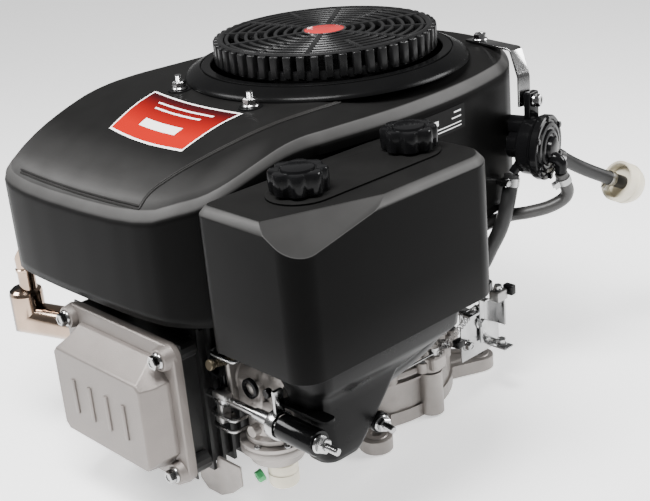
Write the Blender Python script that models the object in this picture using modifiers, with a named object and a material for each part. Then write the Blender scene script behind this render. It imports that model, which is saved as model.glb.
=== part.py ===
"""A small vertical-shaft, single-cylinder petrol engine, as an assembly of separate solids.

Frame: metres, +Z up. The crankshaft's axis is the Z axis, z = 0 is the underside of the four
mounting feet, the cylinder points towards -Y and the intake side is +X.
Every object is one closed solid, and a moving piece has its origin on its joint's axis.
"""

import math

import bmesh
import bpy
from mathutils import Matrix, Vector

GAP = 0.0003  # clearance between solids that touch

# Crank train
BORE = 0.085
STROKE = 0.062
ROD_LENGTH = 0.110
CYLINDER_Z = 0.104  # height of the cylinder's axis
SHAFT_R = 0.0127  # 25.4 mm crankshaft
PTO_BOTTOM = -0.060
SHAFT_TOP = 0.300
PIN_Y = -STROKE / 2  # crankpin at top dead centre
WRIST_Y = PIN_Y - ROD_LENGTH
CROWN_Y = WRIST_Y - 0.030

# Gears: one turn of the camshaft for two of the crankshaft
GEAR_MODULE = 0.0016
CRANK_TEETH = 20
CAM_TEETH = 2 * CRANK_TEETH
CAM_X = -GEAR_MODULE * (CRANK_TEETH + CAM_TEETH) / 2

# Castings
FOOT_CIRCLE_R = 0.127  # 254 mm bolt circle
FOOT_ANGLES = [math.radians(-35.5 + 90 * i) for i in range(4)]
LUG_XY = (0.0988, 0.0060)  # bolt lug across the joint
LUG_R = 0.0115
SPLIT_Z = 0.045  # joint between sump and crankcase
CASE_R = 0.094
CASE_TOP = 0.187
DECK_Y = -0.172  # top of the cylinder
HEAD_END_Y = -0.2495
COVER_Y = HEAD_END_Y - 0.002
VALVE_X = 0.021
VALVE_Z = 0.118
ROCKER_Z = 0.094
COVER_BOLTS = [(x, z) for x in (-0.066, 0.066) for z in (0.052, 0.156)]
BOLT_SEAT_Y = -0.267

# Blower housing
HOUSING_BOTTOM = 0.185
HOUSING_WALL = 0.003
FAN_HOLE_R = 0.1080
SCREEN_R = 0.100
SCREEN_TOP = 0.357
HOUSING_PLAN = [
    (0.058, -0.265), (0.095, -0.250), (0.113, -0.228), (0.120, -0.190), (0.123, -0.150),
    (0.131, -0.120), (0.136, -0.080), (0.139, -0.040), (0.137, 0.020), (0.129, 0.070),
    (0.118, 0.120), (0.070, 0.150), (0.000, 0.156), (-0.070, 0.140), (-0.115, 0.105),
    (-0.134, 0.050), (-0.140, -0.040), (-0.147, -0.250), (-0.138, -0.268),
]
HOUSING_NUTS = [(-0.0540, -0.1257), (0.0455, -0.1293)]
HOUSING_SLOPE = [
    (-0.265, 0.262), (-0.257, 0.276), (-0.240, 0.288), (-0.2175, 0.3005), (-0.190, 0.3115),
    (-0.165, 0.3195), (-0.140, 0.3235), (-0.110, 0.3250), (0.160, 0.3250),
]

# Air cleaner
BOX_LOW = (0.1275, -0.2595, 0.182)
BOX_HIGH = (0.2345, -0.047, 0.297)
BOX_WALL = 0.0025
KNOB_X = 0.178
KNOB_YS = (-0.200, -0.085)
KNOB_BASE = 0.2993

# Fuel system
INTAKE_Y, INTAKE_Z = -0.195, 0.125
CARB_X, CARB_Y = 0.119, -0.200
CARB_SPLIT_Z = 0.080  # joint between the carburettor's body and its bowl
STUD_Y, STUD_Z = -0.228, 0.115
STUD_HOLE_R = 0.0034
DUCT = [  # (low, high, height) of the intake duct's sections, from the top down
    ((0.1500, -0.2240), (0.2100, -0.0620), 0.1816),
    ((0.1510, -0.2215), (0.2060, -0.0640), 0.1520),
    ((0.1520, -0.2190), (0.1990, -0.0960), 0.1420),
    ((0.1530, -0.2180), (0.1960, -0.1240), 0.1350),
    ((0.1540, -0.2150), (0.1950, -0.1380), 0.1180),
    ((0.1560, -0.2110), (0.1940, -0.1600), 0.0930),
    ((0.1620, -0.2070), (0.1900, -0.1700), 0.0780),
]
PUMP = Vector((0.156, 0.113, 0.241))
PUMP_AXIS = Vector((0.968, 0.25, 0)).normalized()
FUEL_HOSE = [
    (0.1370, 0.1485, 0.2220), (0.1392, 0.1580, 0.2155), (0.1425, 0.1740, 0.2045),
    (0.1470, 0.1920, 0.1935), (0.1520, 0.2110, 0.1830), (0.1570, 0.2305, 0.1725),
]
FUEL_HOSE_R = 0.0065

# Exhaust, starter, dipstick
EXHAUST_Y, EXHAUST_Z = -0.205, 0.112
EXHAUST_R = 0.0155
EXHAUST_CORNER = Vector((-0.1665, -0.2475, 0.1210))
EXHAUST_SHOULDER_Z = 0.1520  # top of the wide part
SPOUT_X, SPOUT_Y, SPOUT_TOP = -0.1625, -0.2460, 0.2000
SPOUT_R = 0.0080
STARTER_R = 0.1207
STARTER_ANGLE = math.radians(215)
DIPSTICK_XY = (-0.1515, 0.030)

for old in list(bpy.data.objects):
    bpy.data.objects.remove(old)
PARTS = bpy.data.collections.new("small_gasoline_engine")
CUTTERS = bpy.data.collections.new("cutters")
bpy.context.scene.collection.children.link(PARTS)
bpy.context.scene.collection.children.link(CUTTERS)


def material(name, colour, roughness, metallic=0.0):
    mat = bpy.data.materials.new(name)
    mat.use_nodes = True
    shader = mat.node_tree.nodes["Principled BSDF"]
    shader.inputs["Base Color"].default_value = (*colour, 1)
    shader.inputs["Roughness"].default_value = roughness
    shader.inputs["Metallic"].default_value = metallic
    mat.diffuse_color = (*colour, 1)
    return mat


CAST = material("cast_aluminium", (0.62, 0.61, 0.58), 0.45, 0.8)
STEEL = material("machined_steel", (0.60, 0.60, 0.60), 0.30, 1.0)
ZINC = material("zinc_plate", (0.75, 0.76, 0.78), 0.25, 1.0)
CHROME = material("exhaust_steel", (0.70, 0.66, 0.60), 0.18, 1.0)
PLASTIC = material("textured_plastic", (0.035, 0.035, 0.037), 0.55)
GLOSS = material("gloss_plastic", (0.012, 0.012, 0.013), 0.15)
RUBBER = material("rubber", (0.02, 0.02, 0.02), 0.6)
PAPER = material("filter_paper", (0.72, 0.55, 0.30), 0.9)
CREAM = material("cream_plastic", (0.80, 0.76, 0.64), 0.5)
IRON = material("cast_iron", (0.20, 0.20, 0.21), 0.5, 0.7)
GASKET = material("gasket", (0.05, 0.05, 0.05), 0.8)
CERAMIC = material("ceramic", (0.85, 0.85, 0.82), 0.2)


def new_object(name, mesh, at=(0, 0, 0)):
    made = bpy.data.objects.new(name, mesh)
    made.location = at
    PARTS.objects.link(made)
    return made


def shade(made, angle=35):
    made.data.shade_smooth()
    made.data.set_sharp_from_angle(angle=math.radians(angle))
    return made


def from_bmesh(bm, name, at=(0, 0, 0)):
    bmesh.ops.recalc_face_normals(bm, faces=bm.faces)
    mesh = bpy.data.meshes.new(name)
    bm.to_mesh(mesh)
    bm.free()
    return new_object(name, mesh, at)


def block(low, high, bevel=0.0, segments=2, name="block"):
    """A box between two corners, with its edges rounded when bevel is given."""
    low, high = Vector(low), Vector(high)
    bm = bmesh.new()
    bmesh.ops.create_cube(bm, size=1, matrix=Matrix.Diagonal((*(high - low), 1)))
    made = from_bmesh(bm, name, (low + high) / 2)
    if bevel:
        rounding = made.modifiers.new("rounding", "BEVEL")
        rounding.width = bevel
        rounding.segments = segments
    return made


def rod(start, end, radius, sides=20, end_radius=None, name="rod"):
    """A cylinder, or a cone, between two points."""
    start, end = Vector(start), Vector(end)
    bm = bmesh.new()
    bmesh.ops.create_cone(
        bm,
        cap_ends=True,
        segments=sides,
        radius1=radius,
        radius2=radius if end_radius is None else end_radius,
        depth=(end - start).length,
    )
    made = from_bmesh(bm, name, (start + end) / 2)
    made.rotation_mode = "QUATERNION"
    made.rotation_quaternion = Vector((0, 0, 1)).rotation_difference(end - start)
    return shade(made)


def turned(profile, steps=36, at=(0, 0, 0), name="turned"):
    """A (radius, height) profile turned about Z; it runs down its outer side.

    A profile that starts and ends on the axis stays open there, and any other is closed.
    """
    bm = bmesh.new()
    points = [bm.verts.new((r, 0, z)) for r, z in profile]
    on_axis = profile[0][0] == 0 and profile[-1][0] == 0
    for a, b in zip(points, points[1:] if on_axis else [*points[1:], points[0]]):
        bm.edges.new((a, b))
    mesh = bpy.data.meshes.new(name)
    bm.to_mesh(mesh)
    bm.free()
    made = new_object(name, mesh, at)
    screw = made.modifiers.new("turn", "SCREW")
    screw.steps = steps
    screw.render_steps = steps
    screw.use_merge_vertices = True
    screw.merge_threshold = 0.00001
    screw.use_smooth_shade = False
    return made


def to_mesh(curve_object, name):
    """The evaluated curve as a welded mesh object in the same place."""
    graph = bpy.context.evaluated_depsgraph_get()
    mesh = bpy.data.meshes.new_from_object(curve_object.evaluated_get(graph))
    bm = bmesh.new()
    bm.from_mesh(mesh)
    bmesh.ops.remove_doubles(bm, verts=bm.verts, dist=0.00001)
    bm.to_mesh(mesh)
    bm.free()
    made = new_object(name, mesh)
    made.matrix_world = curve_object.matrix_world
    bpy.data.objects.remove(curve_object)
    return made


def plate(outline, low, high, holes=(), name="plate"):
    """A flat outline in XY, with holes, between two heights."""
    curve = bpy.data.curves.new(name, "CURVE")
    curve.dimensions = "2D"
    curve.fill_mode = "BOTH"
    curve.extrude = (high - low) / 2
    curve.render_resolution_u = 0
    for loop in (outline, *holes):
        spline = curve.splines.new("POLY")
        spline.points.add(len(loop) - 1)
        for point, (x, y) in zip(spline.points, loop):
            point.co = (x, y, 0, 1)
        spline.use_cyclic_u = True
    made = new_object(name, curve, (0, 0, (low + high) / 2))
    bpy.context.view_layer.update()
    return to_mesh(made, name)


def smooth_path(points, per_span=4):
    """Points on a smooth curve through the given ones."""
    points = [Vector(p) for p in points]
    ends = [points[0] * 2 - points[1], *points, points[-1] * 2 - points[-2]]
    path = []
    for a, b, c, d in zip(ends, ends[1:], ends[2:], ends[3:]):
        for step in range(per_span):
            t = step / per_span
            path.append(
                0.5 * (2 * b + (c - a) * t + (2 * a - 5 * b + 4 * c - d) * t**2
                       + (3 * b - a - 3 * c + d) * t**3)
            )
    return [*path, points[-1]]


def tube(points, radius, resolution=2, per_span=4, name="tube"):
    """A round tube of one radius along a smooth path."""
    curve = bpy.data.curves.new(name, "CURVE")
    curve.dimensions = "3D"
    curve.bevel_depth = radius
    curve.bevel_resolution = resolution
    curve.use_fill_caps = True
    curve.render_resolution_u = 0
    path = smooth_path(points, per_span)
    spline = curve.splines.new("POLY")
    spline.points.add(len(path) - 1)
    for point, co in zip(spline.points, path):
        point.co = (*co, 1)
    made = new_object(name, curve)
    bpy.context.view_layer.update()
    return to_mesh(made, name)


def boolean(target, operand, operation):
    change = target.modifiers.new(operation.lower(), "BOOLEAN")
    change.operation = operation
    change.object = operand
    PARTS.objects.unlink(operand)
    CUTTERS.objects.link(operand)
    operand.hide_render = True
    operand.display_type = "WIRE"


def join(target, *additions):
    for addition in additions:
        boolean(target, addition, "UNION")
    return target


def cut(target, *cutters):
    for cutter in cutters:
        boolean(target, cutter, "DIFFERENCE")
    return target


def part(made, name, mat):
    """Give a finished sub-part its name and its material."""
    made.name = name
    made.data.name = name
    made.data.materials.clear()
    made.data.materials.append(mat)
    return made


def set_origin(made, at):
    """Move an unrotated object's origin and leave its shape in place."""
    shift = Vector(at) - made.location
    made.data.transform(Matrix.Translation(-shift))
    made.location = at


def polar(radius, angle, centre=(0, 0)):
    return (centre[0] + radius * math.cos(angle), centre[1] + radius * math.sin(angle))


def circle(radius, sides=24, centre=(0, 0)):
    return [polar(radius, math.tau * i / sides, centre) for i in range(sides)]


def toothed(teeth, tip_r, root_r, tip_share=0.25, root_share=0.5, lean=0.0, turn=0.0):
    """The outline of a gear, a fan or a lobed knob, with lean as the sweep of each tooth."""
    pitch = math.tau / teeth
    loop = []
    for i in range(teeth):
        middle = i * pitch + turn
        loop.append(polar(root_r, middle - root_share * pitch / 2))
        loop.append(polar(tip_r, middle + lean - tip_share * pitch / 2))
        loop.append(polar(tip_r, middle + lean + tip_share * pitch / 2))
        loop.append(polar(root_r, middle + root_share * pitch / 2))
    return loop


def lofted(rows, corner):
    """A loft down through (low, high, height) rectangles with cut corners."""
    bm = bmesh.new()
    rings = []
    for (x0, y0), (x1, y1), z in rows:
        loop = [(x1 - corner, y1), (x0 + corner, y1), (x0, y1 - corner), (x0, y0 + corner),
                (x0 + corner, y0), (x1 - corner, y0), (x1, y0 + corner), (x1, y1 - corner)]
        rings.append([bm.verts.new((x, y, z)) for x, y in loop])
    return skinned(bm, rings, "loft")


def mitred(points, radius, sides=24):
    """A round pipe of straight legs, mitred where they meet."""
    points = [Vector(p) for p in points]
    ways = [(b - a).normalized() for a, b in zip(points, points[1:])]
    side = ways[0].orthogonal().normalized()
    other = ways[0].cross(side)
    spokes = [side * x + other * y for x, y in circle(radius, sides)]
    bm = bmesh.new()
    rings = [[bm.verts.new(points[0] + spoke) for spoke in spokes]]
    for at, before, after in zip(points[1:], ways, [*ways[1:], ways[-1]]):
        across = (before + after).normalized()
        spokes = [spoke - before * (spoke.dot(across) / before.dot(across)) for spoke in spokes]
        rings.append([bm.verts.new(at + spoke) for spoke in spokes])
        spokes = [spoke - after * spoke.dot(after) for spoke in spokes]
    return skinned(bm, rings, "pipe")


def skinned(bm, rings, name):
    """Faces between rings of equal length, and a cap on each end."""
    for upper, lower in zip(rings, rings[1:]):
        for i in range(len(upper)):
            j = (i + 1) % len(upper)
            bm.faces.new((upper[i], upper[j], lower[j], lower[i]))
    bm.faces.new(rings[0][::-1])
    bm.faces.new(rings[-1])
    return from_bmesh(bm, name)


def shift_across(made, x, y):
    """Move a piece in X and Y, with every piece that is joined to it or cut from it."""
    for piece in (made, *(change.object for change in made.modifiers)):
        piece.location.x += x
        piece.location.y += y


# ---------------------------------------------------------------- castings


def foot_outline(count=60, disc_r=0.098, reach=0.043, half_width=math.radians(10)):
    """The sump's flange: a disc with four mounting ears."""
    loop = []
    for i in range(count):
        angle = math.tau * i / count
        ear = 0.0
        for foot in FOOT_ANGLES:
            away = abs((angle - foot + math.pi) % math.tau - math.pi)
            ear = max(ear, 1 - (away / half_width) ** 2)
        loop.append(polar(disc_r + reach * math.sqrt(max(ear, 0)), angle))
    return loop


def oil_sump():
    top = SPLIT_Z - 0.001
    holes = [circle(0.0045, 12, polar(FOOT_CIRCLE_R, a)) for a in FOOT_ANGLES]
    body = turned([(0.096, top), (0.096, 0.004), (0.0135, 0.004), (0.0135, 0.020), (0.024, 0.020),
                   (0.026, 0.013), (0.085, 0.013), (0.085, top)])
    flange = plate(foot_outline(), 0, 0.013, [*holes, circle(0.030, 24)])
    join(flange, join(body, rod((*LUG_XY, 0.001), (*LUG_XY, top), LUG_R, 18)))
    cut(flange, rod((*LUG_XY, -0.01), (*LUG_XY, 0.05), 0.0035, 12),
        turned([(0.0845, 0.05), (0.0845, 0.0135), (0.030, 0.0135), (0.030, 0.05)]))
    return part(flange, "oil_sump", CAST)


def sump_gasket():
    low, high = SPLIT_Z - 0.0007, SPLIT_Z + 0.0007
    part(turned([(0.0958, high), (0.0958, low), (0.0852, low), (0.0852, high)]), "sump_gasket", GASKET)


def crankcase():
    low = SPLIT_Z + 0.001
    case = turned([(0.034, 0.205), (0.036, CASE_TOP), (CASE_R - 0.008, CASE_TOP), (CASE_R, 0.178),
                   (CASE_R, low), (0.083, low), (0.083, 0.168), (0.030, 0.168), (0.0135, 0.168),
                   (0.0135, 0.205)])
    barrel = block((-0.060, DECK_Y, 0.050), (0.060, -0.072, 0.158))
    join(case, barrel)
    for i in range(6):
        y = -0.108 - 0.011 * i
        join(case, block((-0.068, y - 0.0015, 0.042), (0.068, y + 0.0015, 0.166)))
    governor_boss = block((0.086, -0.003, 0.048), (0.113, 0.015, 0.0632), 0.003)
    join(case, governor_boss, rod((*LUG_XY, low), (*LUG_XY, 0.0600), LUG_R, 18))
    bore = rod((0, DECK_Y - 0.01, CYLINDER_Z), (0, -0.045, CYLINDER_Z), BORE / 2 + GAP, 32)
    inside = rod((0, 0, low + 0.0001), (0, 0, 0.1679), 0.0829, 36)
    cut(case, bore, inside)
    return part(case, "crankcase", CAST)


def bolt_holes(target):
    for x, z in COVER_BOLTS:
        cut(target, rod((x, -0.275, z), (x, -0.236, z), 0.0034, 10))


def cylinder_head():
    top = DECK_Y - GAP
    head = block((-0.064, HEAD_END_Y, 0.044), (0.064, top, 0.164))
    for i in range(5):
        y = -0.184 - 0.011 * i
        join(head, block((-0.069, y - 0.0015, 0.039), (0.069, y + 0.0015, 0.169)))
    for x, z in COVER_BOLTS:
        join(head, rod((x, HEAD_END_Y, z), (x, -0.234, z), 0.008, 12))
    join(head, rod((0.055, INTAKE_Y, INTAKE_Z), (0.074, INTAKE_Y, INTAKE_Z), 0.019),
         rod((-0.055, EXHAUST_Y, EXHAUST_Z), (-0.074, EXHAUST_Y, EXHAUST_Z), 0.019))
    for side in (-1, 1):
        x = side * VALVE_X
        join(head, rod((x, HEAD_END_Y + 0.004, ROCKER_Z), (x, -0.2630, ROCKER_Z), 0.003, 10))
    bolt_holes(head)
    for side in (-1, 1):
        x = side * VALVE_X
        cut(head, rod((x, -0.26, VALVE_Z), (x, -0.17, VALVE_Z), 0.0036, 10))
    cut(head, rod((0, -0.16, CYLINDER_Z), (0, top - 0.011, CYLINDER_Z), 0.041, 32),
        rod((0.040, INTAKE_Y, INTAKE_Z), (0.08, INTAKE_Y, INTAKE_Z), 0.012),
        rod((-0.040, EXHAUST_Y, EXHAUST_Z), (-0.08, EXHAUST_Y, EXHAUST_Z), 0.0105),
        rod((-0.025, -0.215, 0.150), (-0.025, -0.215, 0.18), 0.0075, 16))
    return part(head, "cylinder_head", CAST)


def valve_cover():
    cover = block((-0.077, -0.2640, 0.041), (0.077, COVER_Y, 0.167), 0.008)
    panel = block((-0.0645, -0.288, 0.060), (0.0645, COVER_Y - 0.004, 0.1395), 0.007)
    join(cover, panel)
    for x, z in COVER_BOLTS:
        join(cover, rod((x, BOLT_SEAT_Y, z), (x, -0.256, z), 0.0092, 20))
    bolt_holes(cover)
    cut(cover, block((-0.056, -0.2845, 0.0685), (0.056, COVER_Y + 0.004, 0.1345), 0.003))
    part(cover, "valve_cover", CAST)

    sheet = block((-0.075, COVER_Y + GAP, 0.043), (0.075, HEAD_END_Y - GAP, 0.165))
    cut(sheet, block((-0.056, -0.27, 0.0685), (0.056, -0.24, 0.1345)))
    bolt_holes(sheet)
    part(sheet, "valve_cover_gasket", GASKET)


def flange_bolt(name, seat, out, length, hex_r=0.0052, flange_r=0.0072):
    """A hexagon bolt with a flange on its seat, and its shank the other way."""
    seat, out = Vector(seat), Vector(out).normalized()
    head = rod(seat + out * 0.0012, seat + out * 0.0070, hex_r, 6)
    flange = rod(seat + out * GAP, seat + out * 0.0020, flange_r, 20, flange_r * 0.9)
    shank = rod(seat + out * 0.0018, seat - out * length, 0.0030, 10)
    part(join(head, flange, shank), name, ZINC)


def cover_bolts():
    for i, (x, z) in enumerate(COVER_BOLTS):
        flange_bolt(f"valve_cover_bolt_{i + 1}", (x, BOLT_SEAT_Y, z), (0, -1, 0), 0.030)


# ---------------------------------------------------------------- crank train


def crankshaft():
    shaft = rod((0, 0, PTO_BOTTOM), (0, 0, 0.078), SHAFT_R, 20)
    upper = rod((0, 0, 0.130), (0, 0, SHAFT_TOP), SHAFT_R, 20)
    for low, high in ((0.070, 0.086), (0.122, 0.138)):
        web = rod((0, 0.010, low), (0, 0.010, high), 0.044, 24)
        cheek = rod((0, PIN_Y, low), (0, PIN_Y, high), 0.019, 16)
        join(web, cheek)
        join(shaft, web)
    pin = rod((0, PIN_Y, 0.080), (0, PIN_Y, 0.128), 0.015, 24)
    gear = plate(toothed(CRANK_TEETH, 0.0172, 0.0142), 0.030, 0.040)
    join(shaft, upper, pin, gear)
    cut(shaft, rod((0, 0, PTO_BOTTOM - 0.01), (0, 0, PTO_BOTTOM + 0.025), 0.0045, 12))
    key = block((0.0085, -0.0032, PTO_BOTTOM - 0.01), (0.02, 0.0032, PTO_BOTTOM + 0.040))
    cut(shaft, key)
    set_origin(part(shaft, "crankshaft", STEEL), (0, 0, 0))


def camshaft():
    shaft = plate(circle(0.006, 16), 0.0135, 0.068)
    pitch = math.tau / CAM_TEETH
    gear = plate(toothed(CAM_TEETH, 0.0331, 0.0302, turn=pitch / 2), 0.0305, 0.0395)
    join(shaft, gear)
    for low, angle in ((0.044, 0.3), (0.056, 2.2)):
        lobe = plate(circle(0.0105, 20, polar(0.003, angle)), low, low + 0.007)
        join(shaft, lobe)
    part(shaft, "camshaft", STEEL)
    shift_across(shaft, CAM_X, 0)


def piston_profile():
    """(radius, distance from the wrist pin) from the crown's centre round to its inside."""
    skirt_r, groove_r, bore_r = BORE / 2 - 0.0004, BORE / 2 - 0.0024, 0.0370
    crown = WRIST_Y - CROWN_Y
    profile = [(0, crown), (skirt_r, crown)]
    for i in range(3):
        top = crown - 0.005 * (i + 1)
        profile += [(skirt_r, top), (groove_r, top), (groove_r, top - 0.0015), (skirt_r, top - 0.0015)]
    return [*profile, (skirt_r, -0.023), (bore_r, -0.023), (bore_r, crown - 0.007), (0, crown - 0.007)]


def piston_and_rod():
    body = turned(piston_profile(), 36, (0, WRIST_Y, CYLINDER_Z))
    body.rotation_euler.x = math.pi / 2
    for side in (-1, 1):
        boss = rod((0, WRIST_Y, CYLINDER_Z + side * 0.0165), (0, WRIST_Y, CYLINDER_Z + side * 0.0385),
                   0.014, 16)
        join(body, boss)
    cut(body, rod((0, WRIST_Y, 0.05), (0, WRIST_Y, 0.16), 0.0093, 20))
    part(body, "piston", CAST)
    part(rod((0, WRIST_Y, CYLINDER_Z - 0.034), (0, WRIST_Y, CYLINDER_Z + 0.034), 0.009, 20),
         "wrist_pin", STEEL)

    big = rod((0, PIN_Y, 0.090), (0, PIN_Y, 0.118), 0.023, 28)
    beam = block((-0.006, WRIST_Y + 0.008, 0.096), (0.006, PIN_Y - 0.019, 0.112))
    small = rod((0, WRIST_Y, 0.092), (0, WRIST_Y, 0.116), 0.0135, 24)
    join(big, beam, small)
    cut(big, rod((0, PIN_Y, 0.08), (0, PIN_Y, 0.13), 0.0153, 24),
        rod((0, WRIST_Y, 0.08), (0, WRIST_Y, 0.13), 0.0093, 20))
    part(big, "connecting_rod", STEEL)


def flywheel_and_fan():
    part(turned([(0.102, 0.222), (0.102, 0.212), (0.020, 0.212), (0.020, 0.209), (0.0130, 0.209),
                 (0.0130, 0.243), (0.022, 0.243), (0.024, 0.226), (0.088, 0.226), (0.090, 0.240),
                 (0.098, 0.240), (0.098, 0.222)], 40), "flywheel", IRON)
    fan = plate(toothed(16, 0.094, 0.040, 0.14, 0.35, 0.22), 0.246, 0.2995)
    cut(join(fan, rod((0, 0, 0.2435), (0, 0, 0.247), 0.0965, 48)),
        rod((0, 0, 0.23), (0, 0, 0.32), 0.0130, 20))
    part(fan, "cooling_fan", PLASTIC)


def arc_slot(inner, outer, start, end, steps=3):
    angles = [start + (end - start) * i / steps for i in range(steps + 1)]
    return [polar(outer, a) for a in angles] + [polar(inner, a) for a in reversed(angles)]


def fan_screen():
    """The spinning grille: rings of slots, a rim and a hub down to the fan."""
    slots = []
    rings = [(0.027, 0.036), (0.041, 0.050), (0.055, 0.064), (0.069, 0.078)]
    for i in range(6):
        middle = math.tau * i / 6
        for inner, outer in rings:
            half = math.radians(30) - 0.0025 / inner
            slots.append(arc_slot(inner, outer, middle - half, middle + half))
    grille = plate(circle(0.0985, 48), 0.351, SCREEN_TOP, slots)
    rim = turned([(SCREEN_R, 0.3545), (SCREEN_R, 0.334), (0.088, 0.334), (0.088, 0.3545)], 48)
    hub = rod((0, 0, SHAFT_TOP + 0.0005), (0, 0, 0.3535), 0.0190, 24)
    part(join(grille, rim, hub), "fan_screen", PLASTIC)
    set_origin(grille, (0, 0, 0))


# ---------------------------------------------------------------- valve train


def valves_and_rockers():
    for side, name in ((1, "intake"), (-1, "exhaust")):
        x = side * VALVE_X
        stem = rod((x, -0.178, VALVE_Z), (x, -0.2620, VALVE_Z), 0.003, 12)
        head = rod((x, -0.1775, VALVE_Z), (x, -0.1805, VALVE_Z), 0.0155, 24, 0.013)
        part(join(stem, head), f"{name}_valve", STEEL)
        arm = block((x - 0.006, -0.2705, 0.071), (x + 0.006, -0.2645, 0.121), 0.0015)
        part(arm, f"{name}_rocker", STEEL)
        set_origin(arm, (x, -0.2675, ROCKER_Z))


# ---------------------------------------------------------------- blower housing


def at_angle(plan, angle):
    """Where a ray from the crankshaft's axis meets a closed plan outline."""
    way = Vector((math.cos(angle), math.sin(angle)))
    for (ax, ay), (bx, by) in zip(plan, [*plan[1:], plan[0]]):
        side = Vector((bx - ax, by - ay))
        cross = way.x * side.y - way.y * side.x
        if abs(cross) < 1e-12:
            continue
        reach = (ax * side.y - ay * side.x) / cross
        along = (ax * way.y - ay * way.x) / cross
        if reach > 0 and -1e-9 <= along <= 1 + 1e-9:
            return reach
    raise ValueError("the plan outline has a gap")


def slope(y):
    for (y0, z0), (y1, z1) in zip(HOUSING_SLOPE, HOUSING_SLOPE[1:]):
        if y <= y1:
            return z0 + (z1 - z0) * max(y - y0, 0) / (y1 - y0)
    return HOUSING_SLOPE[-1][1]


def housing_top(x, y):
    shoulder = min(max((x - 0.085) / 0.04, 0), 1)
    return slope(y) - 0.009 * shoulder


def blower_housing(count=52, bevel=0.008):
    """A polar grid from the fan hole out over the top and down the walls, then Solidify."""
    bm = bmesh.new()
    rings = [[] for _ in range(8)]
    for i in range(count):
        angle = math.tau * (i + 0.5) / count
        wall = at_angle(HOUSING_PLAN, angle)
        recess = wall
        if math.cos(angle) > 0.3 and wall * math.sin(angle) < -0.036:
            recess = min(wall, (BOX_LOW[0] - 0.0012) / math.cos(angle))
        inner = wall - bevel
        places = []
        for radius in (FAN_HOLE_R, 0.5 * (FAN_HOLE_R + inner), inner):
            x, y = polar(radius, angle)
            places.append((x, y, housing_top(x, y)))
        edge = places[-1][2] - 0.009
        ledge = min(BOX_HIGH[2] + 0.0015, edge - 0.004)
        outer, lower = polar(wall, angle), polar(recess, angle)
        places += [(*outer, edge), (*outer, ledge), (*lower, ledge - 0.0008), (*lower, 0.24),
                   (*lower, HOUSING_BOTTOM)]
        for ring, place in zip(rings, places):
            ring.append(bm.verts.new(place))
    for upper, lower in zip(rings, rings[1:]):
        for i in range(count):
            j = (i + 1) % count
            bm.faces.new((upper[i], lower[i], lower[j], upper[j]))
    shell = from_bmesh(bm, "blower_housing")
    thickness = shell.modifiers.new("wall", "SOLIDIFY")
    thickness.thickness = HOUSING_WALL
    thickness.offset = -1
    thickness.use_even_offset = True
    return part(shell, "blower_housing", PLASTIC)


def fan_ring():
    """The smooth collar that closes the housing round the spinning screen."""
    part(turned([(0.1141, 0.3354), (0.1265, 0.3306), (0.1280, 0.3253), (0.1060, 0.3253),
                 (0.1060, 0.3160), (0.1035, 0.3160), (0.1035, 0.3354)], 48), "fan_ring", PLASTIC)


def housing_nuts():
    for i, (x, y) in enumerate(HOUSING_NUTS):
        base = housing_top(x, y) + 0.0009
        nut = rod((x, y, base + 0.001), (x, y, base + 0.0072), 0.0058, 6)
        flange = rod((x, y, base), (x, y, base + 0.0018), 0.0076, 20, 0.0070)
        stud = rod((x, y, base + 0.004), (x, y, base + 0.0130), 0.003, 12)
        part(join(nut, flange, stud), f"housing_nut_{i + 1}", ZINC)


# ---------------------------------------------------------------- air cleaner


def obround(centre_x, y_low, y_high, radius, steps=10):
    loop = []
    for centre_y, start in ((y_high, 0), (y_low, math.pi)):
        for i in range(steps + 1):
            loop.append(polar(radius, start + math.pi * i / steps, (centre_x, centre_y)))
    return loop


def air_cleaner():
    low, high = Vector(BOX_LOW), Vector(BOX_HIGH)
    wall = Vector((BOX_WALL, BOX_WALL, 0))
    rounding, below = 0.012, Vector((0.01, 0.01, 0.03))
    cover = block(low - Vector((0, 0, 1.2 * rounding)), high, rounding, 3)
    join(cover, plate(obround(KNOB_X, KNOB_YS[0], KNOB_YS[1], 0.0245), 0.290, 0.2990))
    cut(cover, block(low - below, (high.x + below.x, high.y + below.y, low.z)))
    cut(cover, block(low + wall - Vector((0, 0, 0.02)), high - wall - Vector((0, 0, BOX_WALL + 0.001)),
                     0.010))
    for y in KNOB_YS:
        cut(cover, rod((KNOB_X, y, 0.28), (KNOB_X, y, 0.31), 0.0045, 12))
    part(cover, "air_cleaner_cover", PLASTIC)

    inset = Vector((BOX_WALL + 0.0006, BOX_WALL + 0.0006, 0))
    base = block((*(low + inset).xy, low.z + 0.0012), (*(high - inset).xy, low.z + 0.0070), 0.0)
    corner = 0.012
    trim = block((low.x - 0.01, low.y - 0.01, 0.17), (high.x + 0.01, high.y + 0.01, 0.20))
    keep = block(low + inset - Vector((0, 0, 0.02)), high - inset, corner - 0.002)
    cut(trim, keep)
    cut(base, trim)
    for y in KNOB_YS:
        join(base, rod((KNOB_X, y, low.z + 0.004), (KNOB_X, y, 0.3030), 0.003, 10))
    cut(base, rod((KNOB_X, -0.155, 0.17), (KNOB_X, -0.155, 0.20), 0.016, 24))
    part(base, "air_cleaner_base", PLASTIC)

    element = block((0.146, -0.240, 0.1895), (0.210, -0.060, 0.236), 0.006)
    cut(element, block((0.158, -0.226, 0.17), (0.198, -0.074, 0.25)))
    part(element, "air_filter_element", PAPER)


def knobs():
    for i, y in enumerate(KNOB_YS):
        knob = plate(toothed(8, 0.0225, 0.0190, 0.42, 0.72), KNOB_BASE, 0.3185)
        cut(knob, rod((0, 0, KNOB_BASE - 0.01), (0, 0, 0.3060), 0.0040, 12))
        part(knob, f"cover_knob_{i + 1}", GLOSS)
        shift_across(knob, KNOB_X, y)


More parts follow.
